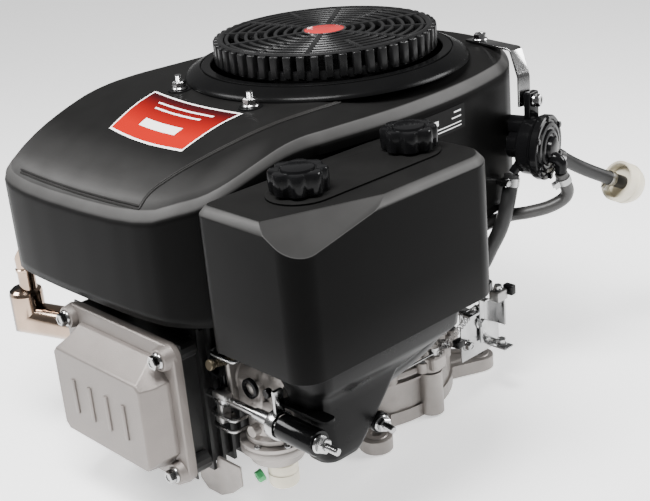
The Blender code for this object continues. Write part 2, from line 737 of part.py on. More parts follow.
def intake_duct(wall=0.004):
    """The flared duct, open at its top and towards the carburettor."""
    inside = [((x0 + wall, y0 + wall), (x1 - wall, y1 - wall), z + 0.003)
              for (x0, y0), (x1, y1), z in DUCT]
    (low, high, top), (floor_low, floor_high, floor) = inside[0], inside[-1]
    inside[0] = (low, high, top + 0.010)
    inside[-1] = (floor_low, floor_high, floor + 0.002)
    duct = lofted(DUCT, 0.010)
    cut(duct, lofted(inside, 0.008),
        rod((0.14, INTAKE_Y, INTAKE_Z), (0.175, INTAKE_Y, INTAKE_Z), 0.012, 20))
    part(duct, "intake_duct", PLASTIC)


# ---------------------------------------------------------------- carburettor


def insulator():
    body = block((0.0743, INTAKE_Y - 0.026, 0.104), (0.0880, INTAKE_Y + 0.026, 0.148), 0.004)
    cut(body, rod((0.07, INTAKE_Y, INTAKE_Z), (0.09, INTAKE_Y, INTAKE_Z), 0.012, 20))
    part(body, "intake_insulator", GLOSS)


def carburetor():
    body = rod((0.0883, INTAKE_Y, INTAKE_Z), (0.1505, INTAKE_Y, INTAKE_Z), 0.019, 28)
    join(body, block((0.0883, INTAKE_Y - 0.026, 0.105), (0.0943, INTAKE_Y + 0.026, 0.147), 0.003),
         rod((CARB_X, CARB_Y, CARB_SPLIT_Z + GAP), (CARB_X, CARB_Y, 0.120), 0.024, 28))
    cut(body, rod((0.08, INTAKE_Y, INTAKE_Z), (0.16, INTAKE_Y, INTAKE_Z), 0.012, 20))
    part(body, "carburetor_body", CAST)
    part(turned([(0.0295, CARB_SPLIT_Z), (0.0295, 0.0700), (0.0240, 0.0675), (0.0225, 0.0585),
                 (0.0060, 0.0585), (0.0060, 0.0640), (0.0180, 0.0640), (0.0190, CARB_SPLIT_Z)], 28,
                (CARB_X, CARB_Y, 0)), "carburetor_bowl", CAST)
    part(rod((CARB_X + 0.005, CARB_Y, 0.0340), (CARB_X + 0.005, CARB_Y, 0.0580), 0.0128, 24),
         "fuel_solenoid", CREAM)
    for name, x in (("throttle_valve_lever", 0.104), ("choke_lever", 0.138)):
        hub = rod((x, INTAKE_Y, 0.1445), (x, INTAKE_Y, 0.1530), 0.0042, 14)
        arm = block((x - 0.0035, INTAKE_Y - 0.002, 0.1480), (x + 0.0035, INTAKE_Y + 0.020, 0.1500))
        part(join(hub, arm), name, ZINC)


def along_stud(start, end, radius, sides):
    return rod((start, STUD_Y, STUD_Z), (end, STUD_Y, STUD_Z), radius, sides)


def carburetor_stud():
    """The long stud that carries the air cleaner: its head, sleeve, flange nut and clip."""
    stud = along_stud(0.0750, 0.2270, 0.003, 12)
    join(stud, along_stud(0.0755, 0.0835, 0.0058, 6), along_stud(0.2053, 0.2072, 0.0076, 18),
         along_stud(0.2070, 0.2130, 0.0058, 6))
    part(stud, "carburetor_stud", ZINC)
    sleeve = cut(along_stud(0.1650, 0.2050, 0.0105, 24), along_stud(0.16, 0.21, STUD_HOLE_R, 12))
    part(sleeve, "stud_spacer", GLOSS)
    clip = along_stud(0.1555, 0.1645, 0.0120, 24)
    join(clip, block((0.1600, STUD_Y - 0.0050, 0.120), (0.1640, STUD_Y + 0.0050, 0.146), 0.001))
    part(cut(clip, along_stud(0.15, 0.17, STUD_HOLE_R, 12)), "air_cleaner_strap", ZINC)


def deflector_plate():
    sheet = block((0.070, -0.2265, 0.012), (0.100, -0.2235, 0.052), 0.001)
    join(sheet, block((0.042, -0.2264, 0.0122), (0.072, -0.2236, 0.0380), 0.001))
    part(sheet, "deflector_plate", CAST)


# ---------------------------------------------------------------- fuel pump and hoses


def fuel_pump():
    cover = rod(PUMP - PUMP_AXIS * 0.0040, PUMP + PUMP_AXIS * 0.0040, 0.0295, 36)
    elbow = rod((0.1640, 0.1110, 0.2310), (0.1720, 0.1170, 0.2290), 0.0055, 14)
    spout = rod((0.1700, 0.1155, 0.2320), (0.1700, 0.1155, 0.2220), 0.0055, 14)
    join(cover, rod(PUMP, PUMP + PUMP_AXIS * 0.0095, 0.0110, 20), elbow, spout)
    part(cover, "fuel_pump_cover", GLOSS)

    body = rod(PUMP - PUMP_AXIS * 0.0043, PUMP - PUMP_AXIS * 0.0200, 0.0280, 36, 0.0250)
    boss = rod(PUMP - PUMP_AXIS * 0.0180, PUMP - PUMP_AXIS * 0.0340, 0.0120, 20)
    inlet = rod((0.1400, 0.1300, 0.2300), (0.1373, 0.1450, 0.2236), 0.0045, 14)
    vent = rod((0.1410, 0.1000, 0.2330), (0.1362, 0.0932, 0.2218), 0.0045, 14)
    tab = block((0.1370, 0.1060, 0.262), (0.1440, 0.1200, 0.2910), 0.002)
    part(join(body, boss, inlet, vent, tab), "fuel_pump", GLOSS)


SUPPLY_HOSE = [
    (0.1700, 0.1155, 0.2185), (0.1708, 0.1195, 0.2090), (0.1702, 0.1245, 0.1990),
    (0.1660, 0.1235, 0.1905), (0.1570, 0.1130, 0.1840), (0.1420, 0.1030, 0.1790),
    (0.1260, 0.0940, 0.1750), (0.1130, 0.0720, 0.1690), (0.1070, 0.0400, 0.1600),
    (0.1070, -0.0200, 0.1520), (0.1040, -0.0900, 0.1480), (0.1040, -0.1250, 0.1350),
    (0.1110, -0.1480, 0.1120), (0.1160, -0.1610, 0.1020), (0.1170, -0.1748, 0.1000),
]
SUPPLY_HOSE_R = 0.0060
VENT_HOSE = [
    (0.1345, 0.0905, 0.2180), (0.1345, 0.0870, 0.2040), (0.1345, 0.0815, 0.1890),
    (0.1305, 0.0765, 0.1690), (0.1230, 0.0710, 0.1500), (0.1150, 0.0665, 0.1320),
    (0.1030, 0.0615, 0.1180), (0.0835, 0.0528, 0.1090),
]
VENT_HOSE_R = 0.0070
BREATHER_HOSE = [
    (0.1740, -0.1330, 0.1130), (0.1650, -0.1130, 0.1095), (0.1550, -0.0750, 0.1070),
    (0.1440, -0.0350, 0.1080), (0.1310, -0.0020, 0.1140), (0.1200, 0.0200, 0.1260),
    (0.1100, 0.0280, 0.1400), (0.0925, 0.0247, 0.1480),
]
BREATHER_HOSE_R = 0.0050


def hoses():
    part(tube(SUPPLY_HOSE, SUPPLY_HOSE_R, 2, 3), "carburetor_fuel_hose", RUBBER)
    part(tube(VENT_HOSE, VENT_HOSE_R, 2, 3), "vent_hose", RUBBER)
    part(tube(BREATHER_HOSE, BREATHER_HOSE_R, 2, 3), "breather_hose", RUBBER)
    part(tube(FUEL_HOSE, FUEL_HOSE_R, 3, 3), "fuel_hose", RUBBER)


def hose_fitting():
    """The round cup that covers the end of the free fuel hose."""
    end = Vector(FUEL_HOSE[-1])
    way = (end - Vector(FUEL_HOSE[-2])).normalized()
    cup = rod(end - way * 0.0090, end + way * 0.0070, 0.0200, 28)
    join(cup, rod(end + way * 0.0060, end + way * 0.0140, 0.0195, 28, 0.0165))
    cut(cup, rod(end - way * 0.02, end + way * 0.0004, 0.0165, 24))
    part(cup, "fuel_hose_fitting", CREAM)


def strip(half_length, low, high, at, turn):
    """A flat strip 14 mm wide, turned about its own starting point."""
    made = block((-half_length, -0.0070, low), (half_length, 0.0070, high))
    set_origin(made, (0, 0, 0))
    made.location = at
    made.rotation_euler = turn
    return made


def pump_strap():
    """The bent strip that carries the fuel pump from the top of the housing."""
    yaw = math.radians(-10)
    level = strip(0.0310, -0.0012, 0.0012, (0.0944, 0.1186, 0.3272), (0, 0, yaw))
    drop = strip(0.0012, -0.0260, 0.0012, (0.1238, 0.1134, 0.3272), (0, math.radians(-22), yaw))
    foot = strip(0.0012, -0.0290, 0.0040, (0.1335, 0.1117, 0.3045), (0, 0, yaw))
    bolt = rod((0.0767, 0.1217, 0.3275), (0.0767, 0.1217, 0.3340), 0.0058, 6)
    part(join(level, drop, foot, bolt), "pump_strap", ZINC)


# ---------------------------------------------------------------- exhaust


def spout_rod(low, high, radius):
    return rod((SPOUT_X, SPOUT_Y, low), (SPOUT_X, SPOUT_Y, high), radius)


def exhaust_elbow(wall=0.0015):
    """A wide mitred elbow on the head, with a flange and a narrow open spout on top."""
    port, bend = (-0.0765, EXHAUST_Y, EXHAUST_Z), (-0.0880, EXHAUST_Y, EXHAUST_Z)
    shoulder = (*EXHAUST_CORNER.xy, EXHAUST_SHOULDER_Z)
    pipe = mitred([port, bend, EXHAUST_CORNER, shoulder], EXHAUST_R)
    join(pipe, rod((-0.0743, EXHAUST_Y, EXHAUST_Z), (-0.0800, EXHAUST_Y, EXHAUST_Z), 0.026, 28),
         spout_rod(EXHAUST_SHOULDER_Z - 0.001, SPOUT_TOP, SPOUT_R),
         spout_rod(0.1690, 0.1720, SPOUT_R + 0.0010))
    inside = (*EXHAUST_CORNER.xy, EXHAUST_SHOULDER_Z - wall)
    cut(pipe, mitred([(-0.0700, EXHAUST_Y, EXHAUST_Z), bend, EXHAUST_CORNER, inside], EXHAUST_R - wall),
        spout_rod(EXHAUST_SHOULDER_Z - 0.010, SPOUT_TOP + 0.010, SPOUT_R - wall))
    part(pipe, "exhaust_elbow", CHROME)


# ---------------------------------------------------------------- electrics and controls


def ignition():
    part(block((-0.1275, -0.020, 0.222), (-0.1055, 0.020, 0.246), 0.003), "ignition_coil", GLOSS)
    plug_x, plug_y = -0.025, -0.215
    part(turned([(0.0050, 0.2050), (0.0050, 0.1800), (0.0105, 0.1790), (0.0105, 0.1715),
                 (0.0070, 0.1705), (0.0070, 0.1510), (0.0015, 0.1510), (0.0015, 0.2050)], 18,
                (plug_x, plug_y, 0)), "spark_plug", CERAMIC)


def starter():
    x, y = polar(STARTER_R, STARTER_ANGLE)
    motor = rod((x, y, 0.0580), (x, y, 0.1780), 0.0262, 32)
    join(motor, rod((x, y, 0.170), (x, y, 0.1940), 0.0120, 20),
         rod((x, y, 0.190), (x, y, 0.2300), 0.0040, 14))
    part(motor, "starter_motor", GLOSS)
    pinion = plate(toothed(12, 0.0180, 0.0150), 0.1945, 0.2050)
    cut(pinion, rod((0, 0, 0.18), (0, 0, 0.22), 0.0045, 14))
    part(pinion, "starter_pinion", STEEL)
    shift_across(pinion, x, y)


def controls():
    bracket = block((0.1180, 0.0280, 0.0480), (0.1200, 0.0820, 0.0980), 0.001)
    join(bracket, block((0.0880, 0.0420, 0.0510), (0.1190, 0.0620, 0.0530)),
         block((0.1190, 0.0660, 0.0510), (0.1400, 0.0790, 0.0530)))
    cut(bracket, rod((0.10, 0.055, 0.080), (0.13, 0.055, 0.080), 0.0033, 12))
    part(bracket, "control_bracket", ZINC)

    lever = rod((0.1202, 0.055, 0.080), (0.1250, 0.055, 0.080), 0.0062, 18)
    arm = block((0.1215, 0.0515, 0.0770), (0.1235, 0.0585, 0.1080), 0.0008)
    tail = block((0.1215, 0.0515, 0.0600), (0.1235, 0.0585, 0.0830), 0.0008)
    join(lever, arm, tail, rod((0.1170, 0.055, 0.080), (0.1230, 0.055, 0.080), 0.0030, 12))
    part(lever, "throttle_control_lever", ZINC)

    pivot = (0.1060, 0.0050)
    hub = rod((*pivot, 0.0636), (*pivot, 0.0700), 0.0050, 16)
    arm = block((0.1025, -0.0380, 0.0645), (0.1095, 0.0060, 0.0665), 0.0008)
    part(join(hub, arm), "governor_lever", ZINC)


def dipstick():
    x, y = DIPSTICK_XY
    path = [(-0.0960, 0.0300, 0.0700), (-0.1120, 0.0300, 0.0800), (-0.1330, 0.0300, 0.1030),
            (-0.1480, 0.0300, 0.1350), (x, y, 0.1700), (x, y, 0.2150)]
    pipe = tube(path, 0.0080, 3, 3)
    inner = [(-0.0800, 0.0300, 0.0600), *path[1:-1], (x, y, 0.2250)]
    cut(pipe, tube(inner, 0.0064, 2, 3))
    part(pipe, "dipstick_tube", STEEL)
    cap = turned([(0.0110, 0.2380), (0.0120, 0.2350), (0.0120, 0.2153), (0.0056, 0.2153),
                  (0.0056, 0.2060), (0.0020, 0.2040), (0.0020, 0.1750), (0.0010, 0.1750),
                  (0.0010, 0.2380)], 20, (x, y, 0))
    part(cap, "dipstick", GLOSS)


oil_sump()
sump_gasket()
crankcase()
cylinder_head()
valve_cover()
cover_bolts()
crankshaft()
camshaft()
piston_and_rod()
flywheel_and_fan()
fan_screen()
valves_and_rockers()
blower_housing()
fan_ring()
housing_nuts()
air_cleaner()
knobs()
intake_duct()
insulator()
carburetor()
carburetor_stud()
deflector_plate()
fuel_pump()
hoses()
hose_fitting()
pump_strap()
exhaust_elbow()
ignition()
starter()
controls()
dipstick()
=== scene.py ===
"""The looks of the small petrol engine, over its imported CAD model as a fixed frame."""

from math import atan2, cos, pi, radians, sin, sqrt, tau

import bmesh
import bpy
from mathutils import Matrix, Vector


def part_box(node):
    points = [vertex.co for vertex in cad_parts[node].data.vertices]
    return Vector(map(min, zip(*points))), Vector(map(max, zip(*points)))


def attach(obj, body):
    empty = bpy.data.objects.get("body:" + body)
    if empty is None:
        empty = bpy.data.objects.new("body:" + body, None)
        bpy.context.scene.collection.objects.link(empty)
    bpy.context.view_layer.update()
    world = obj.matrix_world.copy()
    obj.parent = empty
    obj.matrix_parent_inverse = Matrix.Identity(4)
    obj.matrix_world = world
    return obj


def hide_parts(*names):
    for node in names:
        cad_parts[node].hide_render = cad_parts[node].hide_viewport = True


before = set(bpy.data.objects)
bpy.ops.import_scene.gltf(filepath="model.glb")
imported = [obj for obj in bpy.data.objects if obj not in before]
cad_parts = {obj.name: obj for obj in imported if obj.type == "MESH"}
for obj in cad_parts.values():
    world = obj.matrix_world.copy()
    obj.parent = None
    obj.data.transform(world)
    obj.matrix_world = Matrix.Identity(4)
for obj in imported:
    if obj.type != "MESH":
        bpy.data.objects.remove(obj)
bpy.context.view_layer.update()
ROOT = "engine"
UP, RIGHT, LEFT, FRONT = (0, 0, 1), (1, 0, 0), (-1, 0, 0), (0, -1, 0)

# ---------------- new data, camera and free hose


def new_mesh(name, bm):
    """A mesh made from a bmesh, which is used up."""
    mesh = bpy.data.meshes.new(name)
    bm.to_mesh(mesh)
    bm.free()
    return mesh


def add_object(name, data):
    """A new object in the scene."""
    made = bpy.data.objects.new(name, data)
    bpy.context.scene.collection.objects.link(made)
    return made


def add_camera():
    """The camera looks down at the valve cover and the air cleaner."""
    azimuth, elevation, roll = radians(48.38), radians(22.04), radians(-5.24)
    data = bpy.data.cameras.new("camera")
    data.lens = 69.85
    data.sensor_width = 36
    made = add_object("camera", data)
    turn = Matrix.Rotation(azimuth, 4, "Z") @ Matrix.Rotation(pi / 2 - elevation, 4, "X")
    place = Matrix.Translation((0.8218, -0.7531, 0.5956))
    made.matrix_world = place @ turn @ Matrix.Rotation(roll, 4, "Z")
    bpy.context.scene.camera = made


def smooth_path(points, per_span=6):
    """Points on a smooth curve through the given ones."""
    points = [Vector(p) for p in points]
    ends = [points[0] * 2 - points[1], *points, points[-1] * 2 - points[-2]]
    path = []
    for a, b, c, d in zip(ends, ends[1:], ends[2:], ends[3:]):
        for step in range(per_span):
            t = step / per_span
            path.append(
                0.5 * (2 * b + (c - a) * t + (2 * a - 5 * b + 4 * c - d) * t**2
                       + (3 * b - a - 3 * c + d) * t**3)
            )
    return [*path, points[-1]]


FUEL_HOSE = smooth_path([
    (0.137, 0.1485, 0.222), (0.1392, 0.158, 0.2155), (0.1425, 0.174, 0.2045), (0.147, 0.192, 0.1935),
    (0.152, 0.211, 0.183), (0.157, 0.2305, 0.1725)], 4)
FUEL_HOSE_R = 0.0065

# ---------------- shapes


def polar(radius, angle, z=0.0, centre=(0, 0)):
    """A point at a radius and an angle round a centre."""
    return Vector((centre[0] + radius * cos(angle), centre[1] + radius * sin(angle), z))


def placed(at=(0, 0, 0), axis=UP):
    """The matrix that puts +Z along axis and the origin at a point."""
    turn = Vector(UP).rotation_difference(Vector(axis))
    return Matrix.Translation(at) @ turn.to_matrix().to_4x4()


def around(count, start=0.0):
    """Evenly spaced angles round a full turn."""
    return [start + tau * k / count for k in range(count)]


def circle(side, other, radius, steps):
    """Points round a circle in the plane of two vectors, as offsets from its centre."""
    return [(side * cos(a) + other * sin(a)) * radius for a in around(steps)]


def coil(start, end, radius, step, count):
    """Points on a coil between two places, wound in planes across Y by step radians each."""
    start, end = Vector(start), Vector(end)
    return [start.lerp(end, k / count) + Vector((cos(k * step), 0, sin(k * step))) * radius
            for k in range(count + 1)]


def rounded_rect(low, high, radius, steps=6):
    """A rectangle's outline with round corners; radius is one number or one per corner."""
    radii = [radius] * 4 if isinstance(radius, (int, float)) else radius
    signs = ((1, 1), (-1, 1), (-1, -1), (1, -1))
    loop = []
    for i, ((sx, sy), r) in enumerate(zip(signs, radii)):
        centre = ((high[0] - r if sx > 0 else low[0] + r), (high[1] - r if sy > 0 else low[1] + r))
        loop += [polar(r, pi / 2 * (i + step / steps), 0, centre) for step in range(steps + 1)]
    return loop


class Shape:
    """One mesh built up from closed forms."""

    def __init__(self):
        self.bm = bmesh.new()

    def skin(self, rings, closed=False, capped=True):
        """Faces between rings of points; the ends are capped unless the rings close up or stay open."""
        rows = [[self.bm.verts.new(p) for p in ring] for ring in rings]
        for upper, lower in zip(rows, [*rows[1:], rows[0]] if closed else rows[1:]):
            for i in range(len(upper)):
                j = (i + 1) % len(upper)
                self.bm.faces.new((upper[i], upper[j], lower[j], lower[i]))
        if capped and not closed:
            self.bm.faces.new(rows[0][::-1])
            self.bm.faces.new(rows[-1])
        return self

    def sheet(self, grid):
        """A sheet over rows of points, with its UV square running along and up the rows."""
        columns, rows = len(grid[0]) - 1, len(grid) - 1
        verts = [[self.bm.verts.new(p) for p in row] for row in grid]
        layer = self.bm.loops.layers.uv.new("UVMap")
        for j in range(rows):
            for i in range(columns):
                corners = ((i, j), (i + 1, j), (i + 1, j + 1), (i, j + 1))
                face = self.bm.faces.new([verts[b][a] for a, b in corners])
                for loop, (a, b) in zip(face.loops, corners):
                    loop[layer].uv = (a / columns, b / rows)
        return self

    def turn(self, profile, at=(0, 0, 0), axis=UP, steps=40, closed=False):
        """A (radius, height) profile turned about an axis."""
        place = placed(at, axis)
        return self.skin([[place @ polar(r, a, h) for a in around(steps)] for r, h in profile], closed)

    def ring(self, inner, outer, low, high, at=(0, 0, 0), axis=UP, steps=40):
        """A plain ring with a rectangular section."""
        profile = [(inner, low), (outer, low), (outer, high), (inner, high)]
        return self.turn(profile, at, axis, steps, closed=True)

    def rod(self, start, end, radius, end_radius=None, steps=20, edge=0.0):
        """A cylinder or cone between two points, with its ends chamfered by edge."""
        start, end = Vector(start), Vector(end)
        length = (end - start).length
        far = radius if end_radius is None else end_radius
        profile = [(radius, 0), (far, length)]
        if edge:
            profile = [(radius - edge, 0), (radius, edge), (far, length - edge), (far - edge, length)]
        return self.turn(profile, start, end - start, steps)

    def levels(self, rows, place=Matrix(), steps=6):
        """A loft through (low, high, corner radius, height) rounded rectangles."""
        rings = []
        for low, high, radius, height in rows:
            loop = rounded_rect(low, high, radius, steps)
            rings.append([place @ Vector((p.x, p.y, height)) for p in loop])
        return self.skin(rings)

    def box(self, low, high, edge=0.0005, segments=2, place=Matrix()):
        """A box between two corners, with all its edges rounded."""
        low, high = Vector(low), Vector(high)
        size = Matrix.Translation((low + high) / 2) @ Matrix.Diagonal((*(high - low), 1))
        verts = bmesh.ops.create_cube(self.bm, size=1, matrix=place @ size)["verts"]
        edges = dict.fromkeys(e for vert in verts for e in vert.link_edges)
        bmesh.ops.bevel(self.bm, geom=list(edges), offset=edge, segments=segments, profile=0.5,
                        affect="EDGES")
        return self

    def sweep(self, path, radius, steps=16, flat=1.0):
        """A tube along a path; flat scales its section in one direction."""
        path = [Vector(p) for p in path]
        last = len(path) - 1
        side = (path[1] - path[0]).orthogonal().normalized()
        rings = []
        for i, here in enumerate(path):
            way = (path[min(i + 1, last)] - path[max(i - 1, 0)]).normalized()
            side = (side - way * side.dot(way)).normalized()
            rings.append([here + p for p in circle(side, way.cross(side) * flat, radius, steps)])
        return self.skin(rings)

    def mitred(self, points, radius, steps=40):
        """A round pipe of straight legs, mitred where they meet."""
        points = [Vector(p) for p in points]
        ways = [(b - a).normalized() for a, b in zip(points, points[1:])]
        side = ways[0].orthogonal().normalized()
        spokes = circle(side, ways[0].cross(side), radius, steps)
        rings = [[points[0] + spoke for spoke in spokes]]
        for at, before, after in zip(points[1:], ways, [*ways[1:], ways[-1]]):
            across = (before + after).normalized()
            spokes = [spoke - before * (spoke.dot(across) / before.dot(across)) for spoke in spokes]
            rings.append([at + spoke for spoke in spokes])
            spokes = [spoke - after * spoke.dot(after) for spoke in spokes]
        return self.skin(rings)

    def done(self, name, mat, stands_for=(), body=ROOT, angle=32):
        """The finished piece: shaded, given its material and fixed to its body."""
        bmesh.ops.recalc_face_normals(self.bm, faces=self.bm.faces)
        mesh = new_mesh(name, self.bm)
        mesh.materials.append(mat)
        mesh.shade_smooth()
        mesh.set_sharp_from_angle(angle=radians(angle))
        made = add_object(name, mesh)
        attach(made, body)
        if stands_for:
            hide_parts(*stands_for)
        return made


def walled(made, thickness, even=False):
    """Give an open shell a wall, grown inwards."""
    wall = made.modifiers.new("wall", "SOLIDIFY")
    wall.thickness = thickness
    wall.offset = -1
    wall.use_even_offset = even


def bevelled(made, width, segments=2, angle=30):
    """Round a piece's edges that are sharper than an angle in degrees."""
    edges = made.modifiers.new("edges", "BEVEL")
    edges.width = width
    edges.segments = segments
    edges.limit_method = "ANGLE"
    edges.angle_limit = radians(angle)


# ---------------- materials


def plug(links, sockets, values):
    """Set sockets to values, or link them to other nodes' outputs."""
    for name, value in values.items():
        if isinstance(value, bpy.types.NodeSocket):
            links.new(value, sockets[name])
        else:
            sockets[name].default_value = value


def new_material(name):
    """A new material, its node tree and its shader's inputs."""
    mat = bpy.data.materials.new(name)
    mat.use_nodes = True
    return mat, mat.node_tree, mat.node_tree.nodes["Principled BSDF"].inputs


def node(tree, kind, values, output, **settings):
    """One output of a new shader node, with its settings made and its inputs plugged."""
    made = tree.nodes.new("ShaderNode" + kind)
    for name, value in settings.items():
        setattr(made, name, value)
    plug(tree.links, made.inputs, values)
    return made.outputs[output]


def ramp(tree, share, stops):
    """A colour ramp through (position, colour) stops."""
    made = tree.nodes.new("ShaderNodeValToRGB")
    elements = made.color_ramp.elements
    for element, (place, colour) in zip(elements, (stops[0], stops[-1])):
        element.position = place
        element.color = (*colour, 1)
    for place, colour in stops[1:-1]:
        elements.new(place).color = (*colour, 1)
    tree.links.new(share, made.inputs["Fac"])
    return made.outputs["Color"]


def split_axes(tree, vector):
    """A node that splits a vector into its X, Y and Z."""
    made = tree.nodes.new("ShaderNodeSeparateXYZ")
    tree.links.new(vector, made.inputs[0])
    return made.outputs


def surface(name, colour, roughness, metallic=0.0, tone=0.15, patch=40, grain=900, depth=5e-5,
            spread=0.1, coat=0.0, specular=0.5):
    """A finish with slow changes of tone, uneven roughness and a fine grain."""
    mat, tree, shader = new_material(name)
    place = node(tree, "TexCoord", {}, "Object")
    slow, fine = (node(tree, "TexNoise", {"Vector": place, "Scale": scale, "Detail": detail}, "Fac")
                  for scale, detail in ((patch, 4), (grain, 2)))
    darker, lighter = ([min(c * share, 1) for c in colour] for share in (1 - tone, 1 + tone))
    rough = node(tree, "MapRange", {"Value": slow, "To Min": max(roughness - spread, 0.03),
                                    "To Max": roughness + spread}, "Result")
    bump = node(tree, "Bump", {"Height": fine, "Strength": 1.0, "Distance": depth}, "Normal")
    plug(tree.links, shader, {
        "Base Color": ramp(tree, slow, ((0.3, darker), (0.7, lighter))), "Roughness": rough,
        "Normal": bump, "Metallic": metallic, "Specular IOR Level": specular, "Coat Weight": coat,
        "Coat Roughness": 0.1})
    return mat


TEXTURED = surface("textured_black", (0.06, 0.059, 0.058), 0.36, tone=0.08, grain=1500,
                   spread=0.03, specular=0.03)
BEAD = surface("bead_black", (0.014, 0.0135, 0.013), 0.45, tone=0.1, grain=1500, specular=0.12)
SATIN = surface("satin_black", (0.0035, 0.0035, 0.0036), 0.3, tone=0.1, grain=700, depth=3e-5,
                specular=0.055)
SCREEN = surface("screen_black", (0.006, 0.006, 0.0062), 0.3, tone=0.1, grain=700, depth=3e-5,
                 specular=0.22)
GLOSSY = surface("glossy_black", (0.004, 0.004, 0.0043), 0.15, tone=0.1, grain=300, depth=2e-5,
                 spread=0.05, specular=0.13)
COLLAR = surface("collar_black", (0.003, 0.003, 0.0031), 0.26, tone=0.1, grain=1200, depth=3e-5,
                 spread=0.04, specular=0.06)
ALLOY = surface("cast_alloy", (0.27, 0.25, 0.235), 0.42, 0.7, grain=1100, depth=0.0002)
COVER_ALLOY = surface("cover_alloy", (0.165, 0.147, 0.136), 0.42, 0.45, tone=0.08, grain=1300,
                      depth=0.00022, spread=0.06)
DARK_ALLOY = surface("shaded_alloy", (0.16, 0.155, 0.15), 0.5, 0.6, tone=0.2, depth=0.0002)
FIN_BLACK = surface("painted_fins", (0.008,) * 3, 0.42, tone=0.2, grain=800, depth=0.0001, specular=0.3)
ZINC = surface("zinc_plate", (0.34,) * 3, 0.2, 1.0, tone=0.2, grain=700, depth=4e-5)
STEEL = surface("plain_steel", (0.26, 0.255, 0.25), 0.3, 1.0, tone=0.2, depth=8e-5)
PIPE = surface("exhaust_tube", (0.34, 0.25, 0.19), 0.13, 1.0, tone=0.25, patch=25, grain=300, depth=3e-5)
RUBBER = surface("hose_rubber", (0.01,) * 3, 0.42, tone=0.2, depth=6e-5, specular=0.3)
GREY_HOSE = surface("grey_hose", (0.035, 0.034, 0.033), 0.4, specular=0.4)
CREAM = surface("cream_plastic", (0.66, 0.61, 0.48), 0.38, tone=0.06, grain=500, depth=4e-5)
BRASS = surface("dull_brass", (0.1, 0.085, 0.06), 0.4, 1.0, tone=0.2, grain=600)
IRON = surface("flywheel_iron", (0.12,) * 3, 0.5, 0.8, tone=0.3, grain=700, depth=0.0001)
PAPER = surface("filter_paper", (0.62, 0.45, 0.22), 0.9, tone=0.1, grain=400, depth=0.0003)
RED = surface("badge_red", (0.42, 0.012, 0.014), 0.3, tone=0.08, grain=300, depth=1e-5, coat=0.4)
GREEN = surface("paint_mark", (0.05, 0.35, 0.12), 0.5, tone=0.1)
CERAMIC = surface("plug_ceramic", (0.8, 0.8, 0.77), 0.2, tone=0.03)


def blended(tree, blend_type, factor, second):
    """Blend the colour that a material's ramp makes with a second colour, which may be a socket."""
    colour = tree.nodes["Principled BSDF"].inputs["Base Color"]
    values = {"A": colour.links[0].from_socket, "Factor": factor, "B": second}
    mixed = node(tree, "Mix", values, "Result", data_type="RGBA", blend_type=blend_type)
    tree.links.new(mixed, colour)


def paint_dark_reflection(mat, dark, unshaded_share, black):
    """Paint shade on a material along its piece's width, from none at one given share of it to full at
    another: a painted dark reflection down one side.
    """
    tree = mat.node_tree
    width = split_axes(tree, node(tree, "TexCoord", {}, "Generated"))["X"]
    values = {"Value": width, "From Min": unshaded_share, "From Max": black}
    blended(tree, "MIX", node(tree, "MapRange", values, "Result"), (*dark, 1))


def shaded_by_slope(mat, stops):
    """Scale a colour by how far its face slopes, to bring out the slanting edges of a moulding.

    This paints highlights on the slanting edges and shade on the upright walls: it is part of the colour and
    does not follow the lights.
    """
    tree = mat.node_tree
    up = split_axes(tree, node(tree, "NewGeometry", {}, "Normal"))["Z"]
    greys = [(place, (value,) * 3) for place, value in stops]
    blended(tree, "MULTIPLY", 1.0, ramp(tree, up, greys))


# Painted dark reflection down the left end of the exhaust, part of its colour and not following the lights.
paint_dark_reflection(PIPE, (0.012, 0.011, 0.01), 0.165, 0.115)
# Painted highlights on the textured black's slanting edges and painted shade on its upright walls.
shaded_by_slope(TEXTURED, ((0.15, 0.03), (0.45, 0.35), (0.7, 1.0), (0.86, 0.36), (0.93, 0.13),
                           (1.0, 0.12)))


def label_material(name, dark, bright, pale, bars, border=(0.0, 0.0)):
    """A label shaded from dark to bright, with pale bars and a pale border and no lettering."""
    mat, tree, shader = new_material(name)
    axes = split_axes(tree, node(tree, "TexCoord", {}, "UV"))
    across, along = axes["X"], axes["Y"]

    def math_node(operation, first, second):
        return node(tree, "Math", {0: first, 1: second}, 0, operation=operation)

    def between(value, low, high):
        return math_node("MULTIPLY", math_node("GREATER_THAN", value, low),
                         math_node("LESS_THAN", value, high))

    def patch(left, right, low, high):
        return math_node("MULTIPLY", between(across, left, right), between(along, low, high))

    marks = math_node("SUBTRACT", 1.0, patch(border[0], 1 - border[0], border[1], 1 - border[1]))
    for bar in bars:
        marks = math_node("ADD", marks, patch(*bar))
    shade = ramp(tree, along, ((0.25, bright), (0.9, dark)))
    values = {"Factor": marks, "A": shade, "B": (*pale, 1)}
    plug(tree.links, shader, {"Base Color": node(tree, "Mix", values, "Result", data_type="RGBA"),
                              "Roughness": 0.45, "Specular IOR Level": 0.06})
    return mat


RED_LABEL = label_material("red_label", (0.025, 0.002, 0.003), (0.3, 0.006, 0.003), (0.8, 0.79, 0.78),
                           ((0.2, 0.84, 0.77, 0.805), (0.24, 0.78, 0.64, 0.675),
                            (0.28, 0.74, 0.26, 0.42)), (0.016, 0.035))
BLACK_LABEL = label_material("black_label", (0.004,) * 3, (0.004,) * 3, (0.75, 0.75, 0.75),
                             ((0.08, 0.34, 0.48, 0.68), (0.08, 0.9, 0.28, 0.32), (0.08, 0.9, 0.14, 0.18),
                              (0.72, 0.9, 0.74, 0.8), (0.66, 0.9, 0.52, 0.57)))


